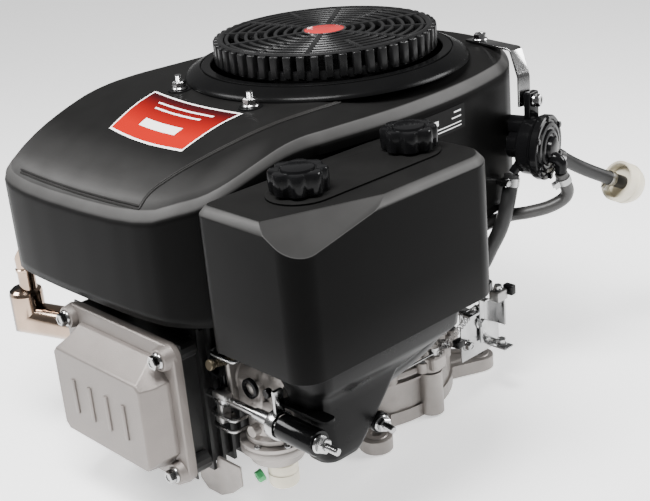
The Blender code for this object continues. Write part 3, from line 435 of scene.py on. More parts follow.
CARRIED_OVER = {
    ALLOY: ["oil_sump", "crankcase"],
    DARK_ALLOY: ["piston"],
    FIN_BLACK: ["cylinder_head"],
    STEEL: ["crankshaft", "camshaft", "wrist_pin", "connecting_rod", "intake_valve", "exhaust_valve",
            "intake_rocker", "exhaust_rocker", "starter_pinion", "dipstick_tube"],
    ZINC: ["throttle_valve_lever", "choke_lever", "governor_lever"],
    SATIN: ["cooling_fan", "air_cleaner_base", "starter_motor"],
    GLOSSY: ["ignition_coil", "dipstick"],
    RUBBER: ["sump_gasket", "valve_cover_gasket"],
    PAPER: ["air_filter_element"],
    IRON: ["flywheel"],
    CERAMIC: ["spark_plug"],
}


def paint_carried_over():
    """Give the CAD's own meshes their materials where no piece of this script replaces them."""
    for mat, names in CARRIED_OVER.items():
        for name in names:
            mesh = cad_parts[name].data
            mesh.materials.clear()
            mesh.materials.append(mat)


# ---------------- blower housing

HOLE_R = 0.1075
HOUSING_BOTTOM = 0.185
HOUSING_WALL = 0.003
SHOULDER_DROP = 0.0095
SHOULDER = ((0.1, 0.035), (0.2, 0.11), (0.5, 0.4), (0.8, 0.7), (0.92, 0.85), (0.985, 0.96))
LEDGE_Z = 0.2985
WALL_SHARES = (0.0, 0.02, 0.15, 0.3, 0.45, 0.6, 0.75, 0.9, 1.0)
PLAN = [
    (0.058, -0.265), (0.095, -0.25), (0.113, -0.228), (0.12, -0.19), (0.123, -0.15), (0.131, -0.12),
    (0.136, -0.08), (0.139, -0.04), (0.137, 0.02), (0.129, 0.07), (0.118, 0.12), (0.07, 0.15),
    (0.0, 0.156), (-0.07, 0.14), (-0.115, 0.105), (-0.134, 0.05), (-0.14, -0.04), (-0.147, -0.25),
    (-0.138, -0.268)]
SLOPE = [(-0.265, 0.262), (-0.257, 0.276), (-0.24, 0.288), (-0.2175, 0.3005), (-0.19, 0.3115),
         (-0.165, 0.3195), (-0.14, 0.3235), (-0.11, 0.325), (0.16, 0.325)]
BOX_SIDE_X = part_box("air_cleaner_cover")[0].x


def cut_corners(loop, rounds=2):
    """Chaikin's smoothing of a closed outline."""
    for _ in range(rounds):
        nearer = []
        for a, b in zip(loop, [*loop[1:], loop[0]]):
            a, b = Vector(a), Vector(b)
            nearer += [a * 0.75 + b * 0.25, a * 0.25 + b * 0.75]
        loop = nearer
    return loop


def at_angle(plan, angle):
    """How far a ray from the crankshaft's axis goes to a closed plan outline."""
    way = Vector((cos(angle), sin(angle)))
    for a, b in zip(plan, [*plan[1:], plan[0]]):
        side = b - a
        cross = way.x * side.y - way.y * side.x
        if abs(cross) < 1e-12:
            continue
        reach = (a.x * side.y - a.y * side.x) / cross
        along = (a.x * way.y - a.y * way.x) / cross
        if reach > 0 and -1e-6 <= along <= 1 + 1e-6:
            return reach
    raise ValueError("the plan outline has a gap")


def slope(y):
    """The height of the housing's top along Y, before it is smoothed."""
    for (y0, z0), (y1, z1) in zip(SLOPE, SLOPE[1:]):
        if y <= y1:
            return z0 + (z1 - z0) * max(y - y0, 0) / (y1 - y0)
    return SLOPE[-1][1]


def housing_top(x, y):
    """The height of the housing's top, smoothed over 16 mm."""
    shoulder = min(max((x - 0.085) / 0.04, 0), 1)
    near = sum(slope(y + 0.004 * k) for k in range(-2, 3)) / 5
    return near - 0.009 * shoulder * shoulder * (3 - 2 * shoulder)


def housing(count=240, bevel=0.008, top_steps=26):
    """Columns of points from the fan hole over the top, round the shoulder and down the walls."""
    plan = cut_corners(PLAN)
    columns = []
    for i in range(count):
        angle = tau * (i + 0.5) / count
        wall = at_angle(plan, angle)
        inner = wall - bevel
        column = []
        for k in range(top_steps):
            x, y, _ = polar(HOLE_R + (inner - HOLE_R) * k / (top_steps - 1), angle)
            column.append((x, y, housing_top(x, y)))
        edge = column[-1][2] - SHOULDER_DROP
        column += [polar(inner + bevel * out, angle, edge + SHOULDER_DROP * (1 - down))
                   for out, down in SHOULDER]
        ledge = min(LEDGE_Z, edge - 0.004)
        column.append(polar(wall, angle, ledge))
        ledge -= 0.0008
        if cos(angle) > 0.3 and wall * sin(angle) < -0.036:
            wall = min(wall, (BOX_SIDE_X - 0.0012) / cos(angle))
        column += [polar(wall, angle, ledge - (ledge - HOUSING_BOTTOM) * share) for share in WALL_SHARES]
        columns.append(column)
    shape = Shape().skin([*zip(*columns)][::-1], capped=False)
    made = shape.done("housing_shell", TEXTURED, ["blower_housing"], angle=50)
    walled(made, HOUSING_WALL, even=True)


def housing_beads():
    """The pair of fine ridges that outlines the raised part of the housing's top."""
    corner = (0.053, -0.2545)
    right = [(0.0985, -0.079), (0.0965, -0.123), (0.09, -0.168), (0.0745, -0.2035), (0.061, -0.228),
             (0.054, -0.2415), corner]
    front = [corner, (0.01, -0.256), (-0.0315, -0.2568), (-0.075, -0.2568), (-0.118, -0.256)]
    shape = Shape()
    for inset in (0.0, 0.0016):
        for line in (right, front):
            path = smooth_path([(x - inset, y + inset, 0) for x, y in line], 8)
            for p in path:
                p.z = housing_top(p.x, p.y) + 0.0002
            shape.sweep(path, 0.001, 8)
    shape.done("housing_beads", BEAD)


def collar():
    """The smooth ring round the fan screen, with its fine seam and sloping outer edge."""
    profile = [
        (0.106, 0.3253), (0.106, 0.3165), (0.105, 0.316), (0.104, 0.3165), (0.104, 0.334),
        (0.1046, 0.335), (0.1118, 0.3352), (0.1123, 0.3348), (0.1124, 0.3334), (0.1132, 0.3332),
        (0.1136, 0.3344), (0.1144, 0.3346), (0.12, 0.3322), (0.1255, 0.329), (0.1272, 0.3272),
        (0.1278, 0.3253)]
    shape = Shape().turn(profile, steps=128, closed=True)
    shape.done("fan_collar", COLLAR, ["fan_ring"], angle=28)


def decal(columns=48, rows=20):
    """The label on the front slope: a curved four-sided sheet that lies on the housing."""
    top_left, top_right = Vector((-0.072, -0.139)), Vector((0.0525, -0.1437))
    low_right, low_left = Vector((0.045, -0.203)), Vector((-0.0595, -0.1992))
    grid = []
    for j in range(rows + 1):
        v = j / rows
        row = []
        for i in range(columns + 1):
            u = i / columns
            p = low_left.lerp(low_right, u).lerp(top_left.lerp(top_right, u), v)
            p.y -= sin(pi * u) * (0.0045 * v + 0.0035 * (1 - v))
            row.append((p.x, p.y, housing_top(p.x, p.y) + 0.0005))
        grid.append(row)
    Shape().sheet(grid).done("housing_label", RED_LABEL)


def wall_plate(columns=8):
    """The black data plate on the housing's right wall, with plain bars and no lettering."""
    plan = cut_corners(PLAN)
    feet = []
    for k in range(columns + 1):
        angle = atan2(-0.026 + 0.055 * k / columns, 0.1375)
        feet.append(polar(at_angle(plan, angle) + 0.0005, angle))
    grid = [[(foot.x, foot.y, z) for foot in feet] for z in (0.28, 0.301)]
    Shape().sheet(grid).done("wall_plate", BLACK_LABEL)


# ---------------- fan screen


def fan_screen(rings=8, spokes=12, fins=52):
    """Rings and spokes over a skirt of upright fins, all turning with the crankshaft."""
    low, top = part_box("fan_screen")
    z = top.z
    shape = Shape()
    half, edge = 0.0017, 0.0007
    for k in range(rings):
        r = 0.0262 + 0.0088 * k
        shape.turn([
            (r - half, z - 0.005), (r + half, z - 0.005), (r + half, z - 0.0014),
            (r + half - edge, z - 0.0006), (r - half + edge, z - 0.0006), (r - half, z - 0.0014)],
            steps=84, closed=True)
    shape.turn([(0.0905, z - 0.006), (0.0935, z - 0.006), (0.095, z - 0.003), (0.096, z - 0.0012),
                (0.0945, z), (0.0925, z), (0.0905, z - 0.0015)], steps=104, closed=True)
    for k, angle in enumerate(around(spokes, 0.13)):
        start, half = (0.0525, 0.0018) if k % 2 else (0.018, 0.0024)
        shape.box((start, -half, z - 0.0055), (0.0915, half, z - 0.0002), 0.0006,
                  place=Matrix.Rotation(angle, 4, "Z"))
    for angle in around(fins):
        shape.box((0.0925, -0.0034, z - 0.0205), (0.0998, 0.0034, z - 0.001), 0.0014, 3,
                  Matrix.Rotation(angle, 4, "Z"))
    shape.ring(0.088, 0.095, low.z + 0.034, z - 0.016, steps=84)
    shape.rod((0, 0, low.z), (0, 0, z - 0.002), 0.0195, steps=40)
    shape.done("screen_grille", SCREEN, ["fan_screen"], "crank")

    rim = Shape().turn([
        (0.0176, z - 0.0022), (0.0196, z - 0.0022), (0.02, z - 0.0008), (0.0192, z - 0.0001),
        (0.018, z - 0.0003)], steps=56, closed=True)
    rim.done("badge_rim", ZINC, body="crank")
    badge = Shape().turn([(0.018, z - 0.0021), (0.018, z - 0.001), (0.017, z - 0.0006)], steps=56)
    badge.done("badge", RED, body="crank")


# ---------------- fasteners


def hex_bolt(name, seat, out, across=0.0104, flange=0.0144, height=0.0062, stud=0.0, mat=ZINC,
             stands_for=()):
    """A flanged hexagon head or nut on its seat, with a stud's end through it if asked."""
    seat, out = Vector(seat), Vector(out).normalized()
    hex_r = across / sqrt(3)
    shape = Shape()
    shape.turn([(flange / 2 - 0.0004, 0), (flange / 2, 0.0004), (flange / 2 - 0.0002, 0.001),
                (hex_r * 1.02, 0.0019)], seat, out, 32)
    shape.turn([(hex_r, 0.001), (hex_r, height - 0.0008), (hex_r * 0.86, height),
                (hex_r * 0.55, height), (hex_r * 0.5, height - 0.0006)], seat, out, 6)
    if stud:
        top = height + stud
        rings = [(0.003 - 0.0003 * (k % 2), height - 0.001 + (stud + 0.001) * k / 14) for k in range(15)]
        shape.turn([*rings, (0.0022, top + 0.0006)], seat, out, 20)
    shape.done(name, mat, stands_for, angle=28)


def screw(name, seat, out, radius=0.003):
    """A small cross-recess pan-head screw."""
    shape = Shape().turn([
        (radius, 0), (radius, 0.0008), (radius * 0.8, 0.0018), (radius * 0.4, 0.0021)], seat, out, 20)
    place = placed(seat, out)
    for turn in (0, pi / 2):
        shape.box((-radius * 0.6, -0.0004, 0.0018), (radius * 0.6, 0.0004, 0.00225), 0.0001, 1,
                  place @ Matrix.Rotation(turn, 4, "Z"))
    shape.done(name, ZINC)


def band(path, i, radius, wall, half, steps):
    """A clamp's band round a hose at one point of its path, and the matrix that its ears use."""
    way = (path[i + 1] - path[i - 1]).normalized()
    return Shape().ring(radius, radius + wall, -half, half, path[i], way, steps), placed(path[i], way)


def worm_clamp(name, path, i, radius, half=0.00375):
    """A band with its screw housing."""
    shape, place = band(path, i, radius, 0.0009, half, 36)
    shape.box((-0.0035, radius + 0.0006, -half), (0.0035, radius + 0.005, half), 0.0008, place=place)
    start, end = (place @ Vector((x, radius + 0.0032, 0)) for x in (-0.0075, 0.006))
    shape.rod(start, end, 0.003, steps=16, edge=0.0004)
    shape.done(name, ZINC)


def spring_clamp(name, path, i, radius, half=0.003):
    """A sprung band with two upright ears."""
    shape, place = band(path, i, radius, 0.0007, half, 32)
    for x in (-0.0022, 0.0022):
        shape.box((x - 0.0004, radius, -half), (x + 0.0004, radius + 0.0055, half), 0.0002, 1, place)
    return shape.done(name, ZINC)


def housing_nuts():
    """The two stud nuts on the housing's front slope, each on a black seat."""
    for i, (x, y) in enumerate(((-0.054, -0.1257), (0.0455, -0.1293))):
        z = housing_top(x, y)
        Shape().turn([(0.0105, z - 0.0012), (0.0105, z + 0.0004), (0.0098, z + 0.001)], (x, y, 0),
                     steps=36).done(f"nut_seat_{i + 1}", SATIN)
        hex_bolt(f"stud_nut_{i + 1}", (x, y, z + 0.001), UP, height=0.007, stud=0.005,
                 stands_for=[f"housing_nut_{i + 1}"])


# ---------------- air cleaner


def air_box():
    """The cover: a thin-walled box with round corners, a chamfered top and one cut corner."""
    low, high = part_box("air_cleaner_cover")
    top = 0.297
    knee = Vector((0.2042, -0.2282, top))
    slant = Vector((0.5567, -0.2098, 1)).normalized()
    shape = Shape()
    rows = []
    for inset, z in ((0.0, 0.182), (0.0, 0.22), (0.0, 0.26), (0.0, top - 0.0072), (0.0006, top - 0.006),
                     (0.0054, top - 0.0008), (0.0068, top)):
        radii = [r - inset for r in (0.026, 0.024, 0.012, 0.02)]
        rows.append(((low.x + inset, low.y + inset), (high.x - inset, high.y - inset), radii, z))
    bm = shape.levels(rows, steps=10).bm
    floor = min(bm.faces, key=lambda face: face.calc_center_median().z)
    bmesh.ops.delete(bm, geom=[floor], context="FACES_ONLY")
    cut = bmesh.ops.bisect_plane(
        bm, geom=[*bm.verts, *bm.edges, *bm.faces], plane_co=knee, plane_no=slant, clear_outer=True)
    rim = [e for e in cut["geom_cut"] if isinstance(e, bmesh.types.BMEdge)]
    bmesh.ops.contextual_create(bm, geom=rim)
    made = shape.done("air_box", TEXTURED, ["air_cleaner_cover"], angle=22)
    walled(made, 0.0025)
    bevelled(made, 0.0009, angle=24)
    plinth = [[polar(radius, pi * (half + k / 16), z, (0.178, y))
               for half, y in ((0, -0.088), (1, -0.199)) for k in range(17)]
              for radius, z in ((0.0262, top - 0.0012), (0.0262, top + 0.0014), (0.024, top + 0.002))]
    Shape().skin(plinth).done("knob_plinth", TEXTURED)


def knobs(lobes=8):
    """Two lobed grip knobs, each with a raised cap in the middle."""
    for i, name in enumerate(("cover_knob_1", "cover_knob_2")):
        low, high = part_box(name)
        centre = (low + high) / 2
        base, top = low.z + 0.0012, high.z - 0.0005
        rows = ((0.0206, base, 0.0024), (0.0218, base + 0.001, 0.003), (0.0223, base + 0.008, 0.0033),
                (0.0221, top - 0.0028, 0.0033), (0.0212, top - 0.0013, 0.0031),
                (0.0196, top - 0.0008, 0.0026), (0.0138, top - 0.0014, 0), (0.0133, top - 0.0022, 0),
                (0.0126, top - 0.0022, 0), (0.012, top - 0.0003, 0), (0.0108, top, 0))
        rings = [[polar(r - depth * (0.5 - 0.5 * cos(lobes * a)) ** 1.6, a, z, centre)
                  for a in around(96)] for r, z, depth in rows]
        Shape().skin(rings).done(f"grip_knob_{i + 1}", GLOSSY, [name], f"knob_{i + 1}")


DUCT = [
    ((0.15, -0.224), (0.21, -0.062), 0.1816), ((0.1504, -0.2232), (0.2088, -0.0624), 0.172),
    ((0.151, -0.2215), (0.206, -0.064), 0.152), ((0.1514, -0.2206), (0.203, -0.074), 0.147),
    ((0.152, -0.219), (0.199, -0.096), 0.142), ((0.1525, -0.2184), (0.197, -0.112), 0.1385),
    ((0.153, -0.218), (0.196, -0.124), 0.135), ((0.1535, -0.2166), (0.1955, -0.1315), 0.127),
    ((0.154, -0.215), (0.195, -0.138), 0.118), ((0.155, -0.213), (0.1945, -0.149), 0.105),
    ((0.156, -0.211), (0.194, -0.16), 0.093), ((0.158, -0.2095), (0.1925, -0.165), 0.085),
    ((0.1605, -0.208), (0.191, -0.1685), 0.08), ((0.164, -0.205), (0.188, -0.172), 0.0782)]


def intake_duct():
    """The moulded duct from the air cleaner down to the carburettor."""
    rows = [(low, high, min(0.012, 0.45 * (high[1] - low[1])), z) for low, high, z in DUCT]
    shape = Shape().levels(rows, steps=8)
    shape.done("duct_shell", SATIN, ["intake_duct"], angle=50)
    lip = Shape().levels([
        ((0.156, -0.2238), (0.209, -0.212), 0.004, 0.1315),
        ((0.156, -0.2238), (0.209, -0.212), 0.004, 0.129)], steps=6)
    lip.levels([((0.1502, -0.2238), (0.2098, -0.0622), 0.012, 0.176),
                ((0.1502, -0.2238), (0.2098, -0.0622), 0.012, 0.1738)], steps=8)
    lip.done("duct_ribs", SATIN)


# ---------------- valve cover


def valve_cover():
    """The die-cast cover: a flat flange and a raised panel with wide chamfers."""
    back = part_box("valve_cover")[1].y
    place = placed(axis=FRONT)
    corners = [(x, z) for x in (-0.066, 0.066) for z in (0.052, 0.156)]

    def levels(rows, steps):
        return Shape().levels([((-x, z_low), (x, z_high), radius, -y)
                               for x, z_low, z_high, radius, y in rows], place, steps)

    flange = levels([
        (0.0765, 0.0415, 0.1665, 0.011, back), (0.077, 0.041, 0.167, 0.012, -0.254),
        (0.077, 0.041, 0.167, 0.012, -0.259), (0.0762, 0.0418, 0.1662, 0.012, -0.2602),
        (0.074, 0.044, 0.164, 0.011, -0.2608)], 8)
    panel = levels([
        (0.069, 0.052, 0.154, 0.018, -0.259), (0.0688, 0.0522, 0.1537, 0.018, -0.264),
        (0.0655, 0.0565, 0.1455, 0.012, -0.274), (0.0622, 0.06, 0.139, 0.005, -0.2854),
        (0.061, 0.0612, 0.1378, 0.005, -0.2866)], 1)
    bevelled(panel.done("cover_panel", COVER_ALLOY, angle=12), 0.0016, 3, 12)
    for x, z in corners:
        flange.rod((x, -0.256, z), (x, -0.2669, z), 0.0112, 0.0094, 32, 0.0006)
    ribs = Shape()
    for x in (-0.036, -0.012, 0.012, 0.036):
        ribs.box((x - 0.0025, -0.288, 0.083), (x + 0.0025, -0.2862, 0.115), 0.0007)
    ribs.done("cover_ribs", COVER_ALLOY)
    flange.done("cover_casting", COVER_ALLOY, ["valve_cover"], angle=24)
    for i, (x, z) in enumerate(corners):
        hex_bolt(f"cover_bolt_{i + 1}", (x, -0.267, z), FRONT, height=0.0066,
                 stands_for=[f"valve_cover_bolt_{i + 1}"])


def exhaust(radius=0.0154):
    """The bright mitred elbow on the head and the narrow spout with its slanting mouth."""
    y, z = -0.205, 0.112
    corner, spout = Vector((-0.1665, -0.2475, 0.121)), Vector((-0.1625, -0.246, 0))
    shape = Shape().mitred([(-0.0765, y, z), (-0.088, y, z), corner, (*corner.xy, 0.1465)], radius)
    shape.turn([(radius, 0.1465), (0.0146, 0.1495), (0.012, 0.1515), (0.008, 0.1519)], (*corner.xy, 0))
    shape.turn([(0.0079, 0.15), (0.0079, 0.1688), (0.0088, 0.1694), (0.0089, 0.1716), (0.0079, 0.1724),
                (0.0076, 0.174), (0.0066, 0.174), (0.0066, 0.15)], spout, steps=36, closed=True)
    mouth = []
    for a in around(36):
        rim = 0.189 + 0.0108 * cos(a - radians(20))
        mouth.append([spout + polar(r, a, height) for r, height in (
            (0.0078, 0.1735), (0.008, rim), (0.0064, rim - 0.0004), (0.0064, 0.1735))])
    shape.skin(zip(*mouth), closed=True)
    shape.done("exhaust_pipe", PIPE, ["exhaust_elbow"], angle=30)
    flange = Shape().turn([(0.0156, 0), (0.0258, 0), (0.0258, 0.005), (0.025, 0.0056), (0.0156, 0.0056)],
                          (-0.0743, y, z), LEFT, closed=True)
    flange.done("exhaust_flange", PIPE)
    for i, side in enumerate((-0.0205, 0.0205)):
        hex_bolt(f"exhaust_nut_{i + 1}", (-0.08, y + side, z), LEFT, across=0.007, flange=0.0092,
                 stud=0.003)


# ---------------- carburettor

BOWL_X, BOWL_Y = 0.119, -0.2
INTAKE_Y, INTAKE_Z = -0.195, 0.125


def carb_casting():
    """The barrel along the intake and the casting that the bowl hangs from."""
    body = Shape()
    body.turn([(0.021, 0.0885), (0.021, 0.093), (0.0185, 0.095), (0.0178, 0.11), (0.0185, 0.128),
               (0.02, 0.14), (0.0205, 0.15), (0.015, 0.1503)], (0, INTAKE_Y, INTAKE_Z), RIGHT)
    body.turn([(0.0225, 0.0805), (0.0238, 0.081), (0.0238, 0.085), (0.0222, 0.0865), (0.0205, 0.088),
               (0.02, 0.1), (0.0215, 0.104), (0.0185, 0.118)], (BOWL_X, BOWL_Y, 0), steps=44)
    body.box((0.0886, INTAKE_Y - 0.0255, 0.1055), (0.094, INTAKE_Y + 0.0255, 0.1465), 0.002, 3)
    body.box((0.1, INTAKE_Y - 0.024, 0.108), (0.128, INTAKE_Y - 0.006, 0.132), 0.003, 3)
    body.rod((0.121, INTAKE_Y - 0.02, 0.093), (0.121, INTAKE_Y - 0.031, 0.093), 0.005, steps=20, edge=0.0005)
    body.done("carb_casting", ALLOY, ["carburetor_body"], angle=30)


def fuel_bowl():
    """The float bowl with its four screws, the fuel shut-off valve below it and the drain bolt."""
    bowl = Shape().turn([
        (0.008, 0.0592), (0.0205, 0.0592), (0.0222, 0.0604), (0.0232, 0.063), (0.0238, 0.068),
        (0.0285, 0.0697), (0.0293, 0.0706), (0.0293, 0.0745), (0.0285, 0.076), (0.0288, 0.0766),
        (0.0292, 0.0775), (0.029, 0.0796), (0.028, 0.08), (0.02, 0.08)], (BOWL_X, BOWL_Y, 0), steps=56)
    bowl.done("carb_bowl", ALLOY, ["carburetor_bowl"], angle=30)
    for k in range(4):
        a = radians(-75 + 55 * k)
        screw(f"bowl_screw_{k + 1}", polar(0.0258, a, 0.08, (BOWL_X, BOWL_Y)), UP, 0.003)
    sx = BOWL_X + 0.005
    solenoid = Shape().turn([
        (0.008, 0.0578), (0.0116, 0.0574), (0.0128, 0.056), (0.0128, 0.05), (0.0122, 0.0494),
        (0.0122, 0.0476), (0.0128, 0.047), (0.0128, 0.038), (0.0118, 0.036), (0.0086, 0.035),
    ], (sx, BOWL_Y, 0))
    solenoid.done("fuel_valve_cap", CREAM, ["fuel_solenoid"], angle=30)
    hex_bolt("drain_bolt", (sx - 0.012, BOWL_Y - 0.012, 0.044), (-0.3, -1, -0.3), across=0.009,
             flange=0.011, mat=GREEN)


def insulator():
    """The black block between the head and the carburettor."""
    block = Shape().box((0.0746, INTAKE_Y - 0.0255, 0.1045), (0.0878, INTAKE_Y + 0.0255, 0.1475), 0.0035, 3)
    block.ring(0.006, 0.009, 0, 0.004, (0.081, INTAKE_Y - 0.0255, 0.137), FRONT, 28)
    block.done("insulator_block", GLOSSY, ["intake_insulator"])


def carb_links():
    """Three wire loops beside the carburettor and a long rod back along the engine."""
    y = INTAKE_Y - 0.03
    links = Shape()
    for z, x0, x1 in ((0.156, 0.09, 0.118), (0.101, 0.082, 0.11), (0.0905, 0.084, 0.108)):
        loop = [(x0, y + 0.012, z), (x0, y - 0.003, z), (x0 + 0.004, y - 0.008, z),
                (x1 - 0.004, y - 0.008, z), (x1, y - 0.003, z), (x1, y + 0.012, z)]
        links.sweep(smooth_path(loop, 5), 0.0016, 10, 2.0)
    links.sweep(smooth_path([(0.105, -0.037, 0.0672), (0.106, -0.08, 0.09), (0.1045, -0.13, 0.125),
                             (0.104, -0.178, 0.151)], 8), 0.0009, 10)
    links.done("carb_links", ZINC)


def idle_screw():
    """The idle screw with its head and its spring."""
    idle = Shape().rod((0.096, INTAKE_Y - 0.02, 0.146), (0.096, INTAKE_Y - 0.042, 0.15), 0.0018, steps=14)
    idle.rod((0.096, INTAKE_Y - 0.042, 0.15), (0.096, INTAKE_Y - 0.0455, 0.1506), 0.0045, steps=24,
             edge=0.0005)
    idle.sweep(coil((0.096, INTAKE_Y - 0.0225, 0.1465), (0.096, INTAKE_Y - 0.04, 0.1497), 0.003, 0.84,
                    60), 0.0005, 6)
    idle.done("idle_screw", BRASS)


def carb_stud():
    """The long stud through the carburettor, its clip, black sleeve and flange nut."""
    y, z = -0.228, 0.115
    rod = Shape().rod((0.075, y, z), (0.164, y, z), 0.0036, steps=24, edge=0.0005)
    rod.turn([(0.0036, 0.088), (0.0062, 0.089), (0.0066, 0.094), (0.0062, 0.098), (0.0036, 0.099)],
             (0, y, z), RIGHT, 24)
    rod.rod((0.133, y, z), (0.1545, y, z), 0.005, 0.0058, 20, 0.0005)
    rod.done("stud_rod", ZINC, ["carburetor_stud"])
    sleeve = Shape().turn([
        (0.0034, 0), (0.0096, 0), (0.0105, 0.001), (0.0105, 0.0385), (0.0098, 0.0398), (0.0034, 0.0398)],
        (0.1652, y, z), RIGHT, closed=True)
    sleeve.done("stud_sleeve", GLOSSY, ["stud_spacer"], angle=30)
    hex_bolt("stud_nut_outer", (0.2053, y, z), RIGHT, stud=0.012, across=0.0112, flange=0.0152,
             height=0.0075)
    clip = Shape().turn([
        (0.0098, 0), (0.0118, 0), (0.012, 0.0006), (0.012, 0.0082), (0.0118, 0.0088), (0.0098, 0.0088)],
        (0.1556, y, z), RIGHT, closed=True)
    clip.box((0.1602, y - 0.0048, 0.125), (0.1638, y + 0.0048, 0.1458), 0.0008)
    clip.box((0.1556, y - 0.0048, 0.104), (0.1572, y + 0.002, 0.126), 0.0005)
    clip.done("stud_clip", ZINC, ["air_cleaner_strap"])


def carb_fittings():
    """The nut that holds the duct, the throttle's stop and two small ports."""
    hex_bolt("duct_nut", (0.1935, -0.152, 0.0935), (1, -0.15, 0), stud=0.009)
    plinth = Shape().rod((0.188, -0.1512, 0.0935), (0.1933, -0.152, 0.0935), 0.0085, steps=28, edge=0.0006)
    plinth.done("duct_boss", SATIN)
    bracket = Shape().box((0.089, -0.233, 0.099), (0.096, -0.224, 0.124), 0.0012)
    bracket.box((0.089, -0.236, 0.118), (0.104, -0.227, 0.124), 0.0012)
    bracket.box((0.09, -0.236, 0.096), (0.099, -0.227, 0.103), 0.0012)
    bracket.done("throttle_stop", STEEL)
    ports = Shape().turn([
        (0.006, 0), (0.0085, 0), (0.0085, 0.003), (0.0072, 0.0036), (0.006, 0.0036)],
        (0.119, -0.2185, 0.129), FRONT, 28, closed=True)
    ports.rod((0.142, -0.2185, 0.133), (0.142, -0.224, 0.133), 0.004, steps=20, edge=0.0006)
    ports.done("carb_ports", GLOSSY)


def deflector():
    """The sheet below the head, with its lower edge rising towards the carburettor."""
    outline = [(0.0425, 0.038), (0.0425, 0.02), (0.052, 0.0124), (0.07, 0.013), (0.086, 0.0215),
               (0.0995, 0.033), (0.0995, 0.0515), (0.071, 0.0515), (0.066, 0.038)]
    shape = Shape().skin([[(x, y, z) for x, z in outline] for y in (-0.2262, -0.2238)])
    bevelled(shape.done("deflector_sheet", ALLOY, ["deflector_plate"], angle=40), 0.0006)


# ---------------- castings

BOLT_CIRCLE_R = 0.127
LUG_XY = (0.0988, 0.006)


def sump_details():
    """The four mounting ears with their ribs, the sump's upper rim and the lug under it."""
    shape = Shape()
    for a in around(4, radians(-35.5)):
        seat = polar(BOLT_CIRCLE_R, a)
        shape.turn([(0.0148, 0.0002), (0.015, 0.0125), (0.014, 0.0131), (0.0048, 0.0131), (0.0048, 0.0002)],
                   seat, steps=36, closed=True)
        shape.turn([(0.005, 0.0125), (0.01, 0.0125), (0.0106, 0.0134), (0.01, 0.0142), (0.005, 0.0142)],
                   seat, steps=32, closed=True)
        for side in (-1, 1):
            b = a + side * 0.13
            start, end = polar(0.095, b, 0.012), polar(0.119, a + side * 0.05, 0.012)
            shape.sweep([start, start.lerp(end, 0.5), end], 0.0032, 10)
    shape.turn([(0.0945, 0.04), (0.0985, 0.0405), (0.099, 0.043), (0.0962, 0.0438)], steps=96)
    shape.turn([(0.0113, 0.001), (0.0115, 0.0018), (0.0115, 0.0432), (0.011, 0.0438)], (*LUG_XY, 0),
               steps=36)
    shape.done("sump_details", ALLOY)


def case_details():
    """The crankcase's lower rim with its bolts, its ribs and the lug."""
    case = Shape()
    case.turn([(0.093, 0.0462), (0.0982, 0.0466), (0.0988, 0.049), (0.0978, 0.052), (0.094, 0.053)],
              steps=96)
    for k in range(9):
        a = radians(-44 + 21 * k)
        at = polar(0.0985, a)
        case.turn([(0.0062, 0.0462), (0.0066, 0.047), (0.0066, 0.056), (0.0058, 0.0568)], at, steps=24)
        hex_bolt(f"case_bolt_{k + 1}", (at.x, at.y, 0.0568), UP, across=0.008, flange=0.0108,
                 height=0.005)
    for k in range(5):
        a = radians(-14 + 16 * k)
        case.sweep([polar(0.0932, a, z) for z in (0.056, 0.116, 0.176)], 0.0022, 10)
    case.turn([(0.0112, 0.0464), (0.0115, 0.047), (0.0115, 0.059), (0.0108, 0.06)], (*LUG_XY, 0),
              steps=36)
    case.done("case_details", ALLOY)
    hex_bolt("lug_bolt", (*LUG_XY, 0.0008), (0, 0, -1), across=0.008, flange=0.0108, height=0.0005)


def control_bracket():
    """The folded plate that carries the speed control."""
    bracket = Shape().box((0.118, 0.028, 0.048), (0.12, 0.082, 0.098), 0.0008)
    bracket.box((0.088, 0.042, 0.051), (0.119, 0.062, 0.053), 0.0006)
    bracket.box((0.119, 0.066, 0.051), (0.14, 0.079, 0.053), 0.0006)
    bracket.box((0.112, 0.079, 0.07), (0.13, 0.0815, 0.105), 0.0008)
    bracket.box((0.112, 0.03, 0.095), (0.13, 0.044, 0.0975), 0.0006)
    bracket.done("bracket_plate", ZINC, ["control_bracket"])


def control_arm():
    """The speed-control arm on its hexagonal pivot."""
    lever = Shape().turn([(0.005, 0), (0.0062, 0.0004), (0.0062, 0.0012), (0.0045, 0.0016)],
                         (0.1202, 0.055, 0.08), RIGHT, 28)
    lever.box((0.1215, 0.0518, 0.06), (0.1233, 0.0582, 0.108), 0.0007)
    lever.box((0.1215, 0.0518, 0.104), (0.13, 0.0582, 0.1058), 0.0006)
    lever.rod((0.1212, 0.055, 0.08), (0.126, 0.055, 0.08), 0.0046, steps=6, edge=0.0004)
    lever.done("control_arm", ZINC, ["throttle_control_lever"], "throttle_control")


def control_fittings():
    """The cable clamp, the bracket's bolts, two black clips and the governor's spring."""
    clamp = Shape().box((0.1215, 0.067, 0.098), (0.133, 0.081, 0.108), 0.001)
    clamp.done("cable_clamp", STEEL)
    hex_bolt("clamp_screw", (0.127, 0.074, 0.1082), UP, across=0.007, flange=0.01, height=0.005)
    hex_bolt("bracket_bolt_1", (0.1302, 0.0725, 0.0532), UP, across=0.008, flange=0.011)
    hex_bolt("bracket_bolt_2", (0.1202, 0.035, 0.064), RIGHT, across=0.008, flange=0.011)
    clips = Shape().box((0.125, 0.083, 0.1), (0.136, 0.09, 0.11), 0.0015, 3)
    clips.box((0.121, 0.014, 0.07), (0.129, 0.023, 0.078), 0.0015, 3)
    clips.done("control_clips", GLOSSY)
    spring = coil((0.1245, 0.046, 0.1), (0.12, -0.005, 0.07), 0.0028, 0.9, 120)
    Shape().sweep(spring, 0.00045, 6).done("governor_spring", STEEL)


# ---------------- fuel pump and hoses

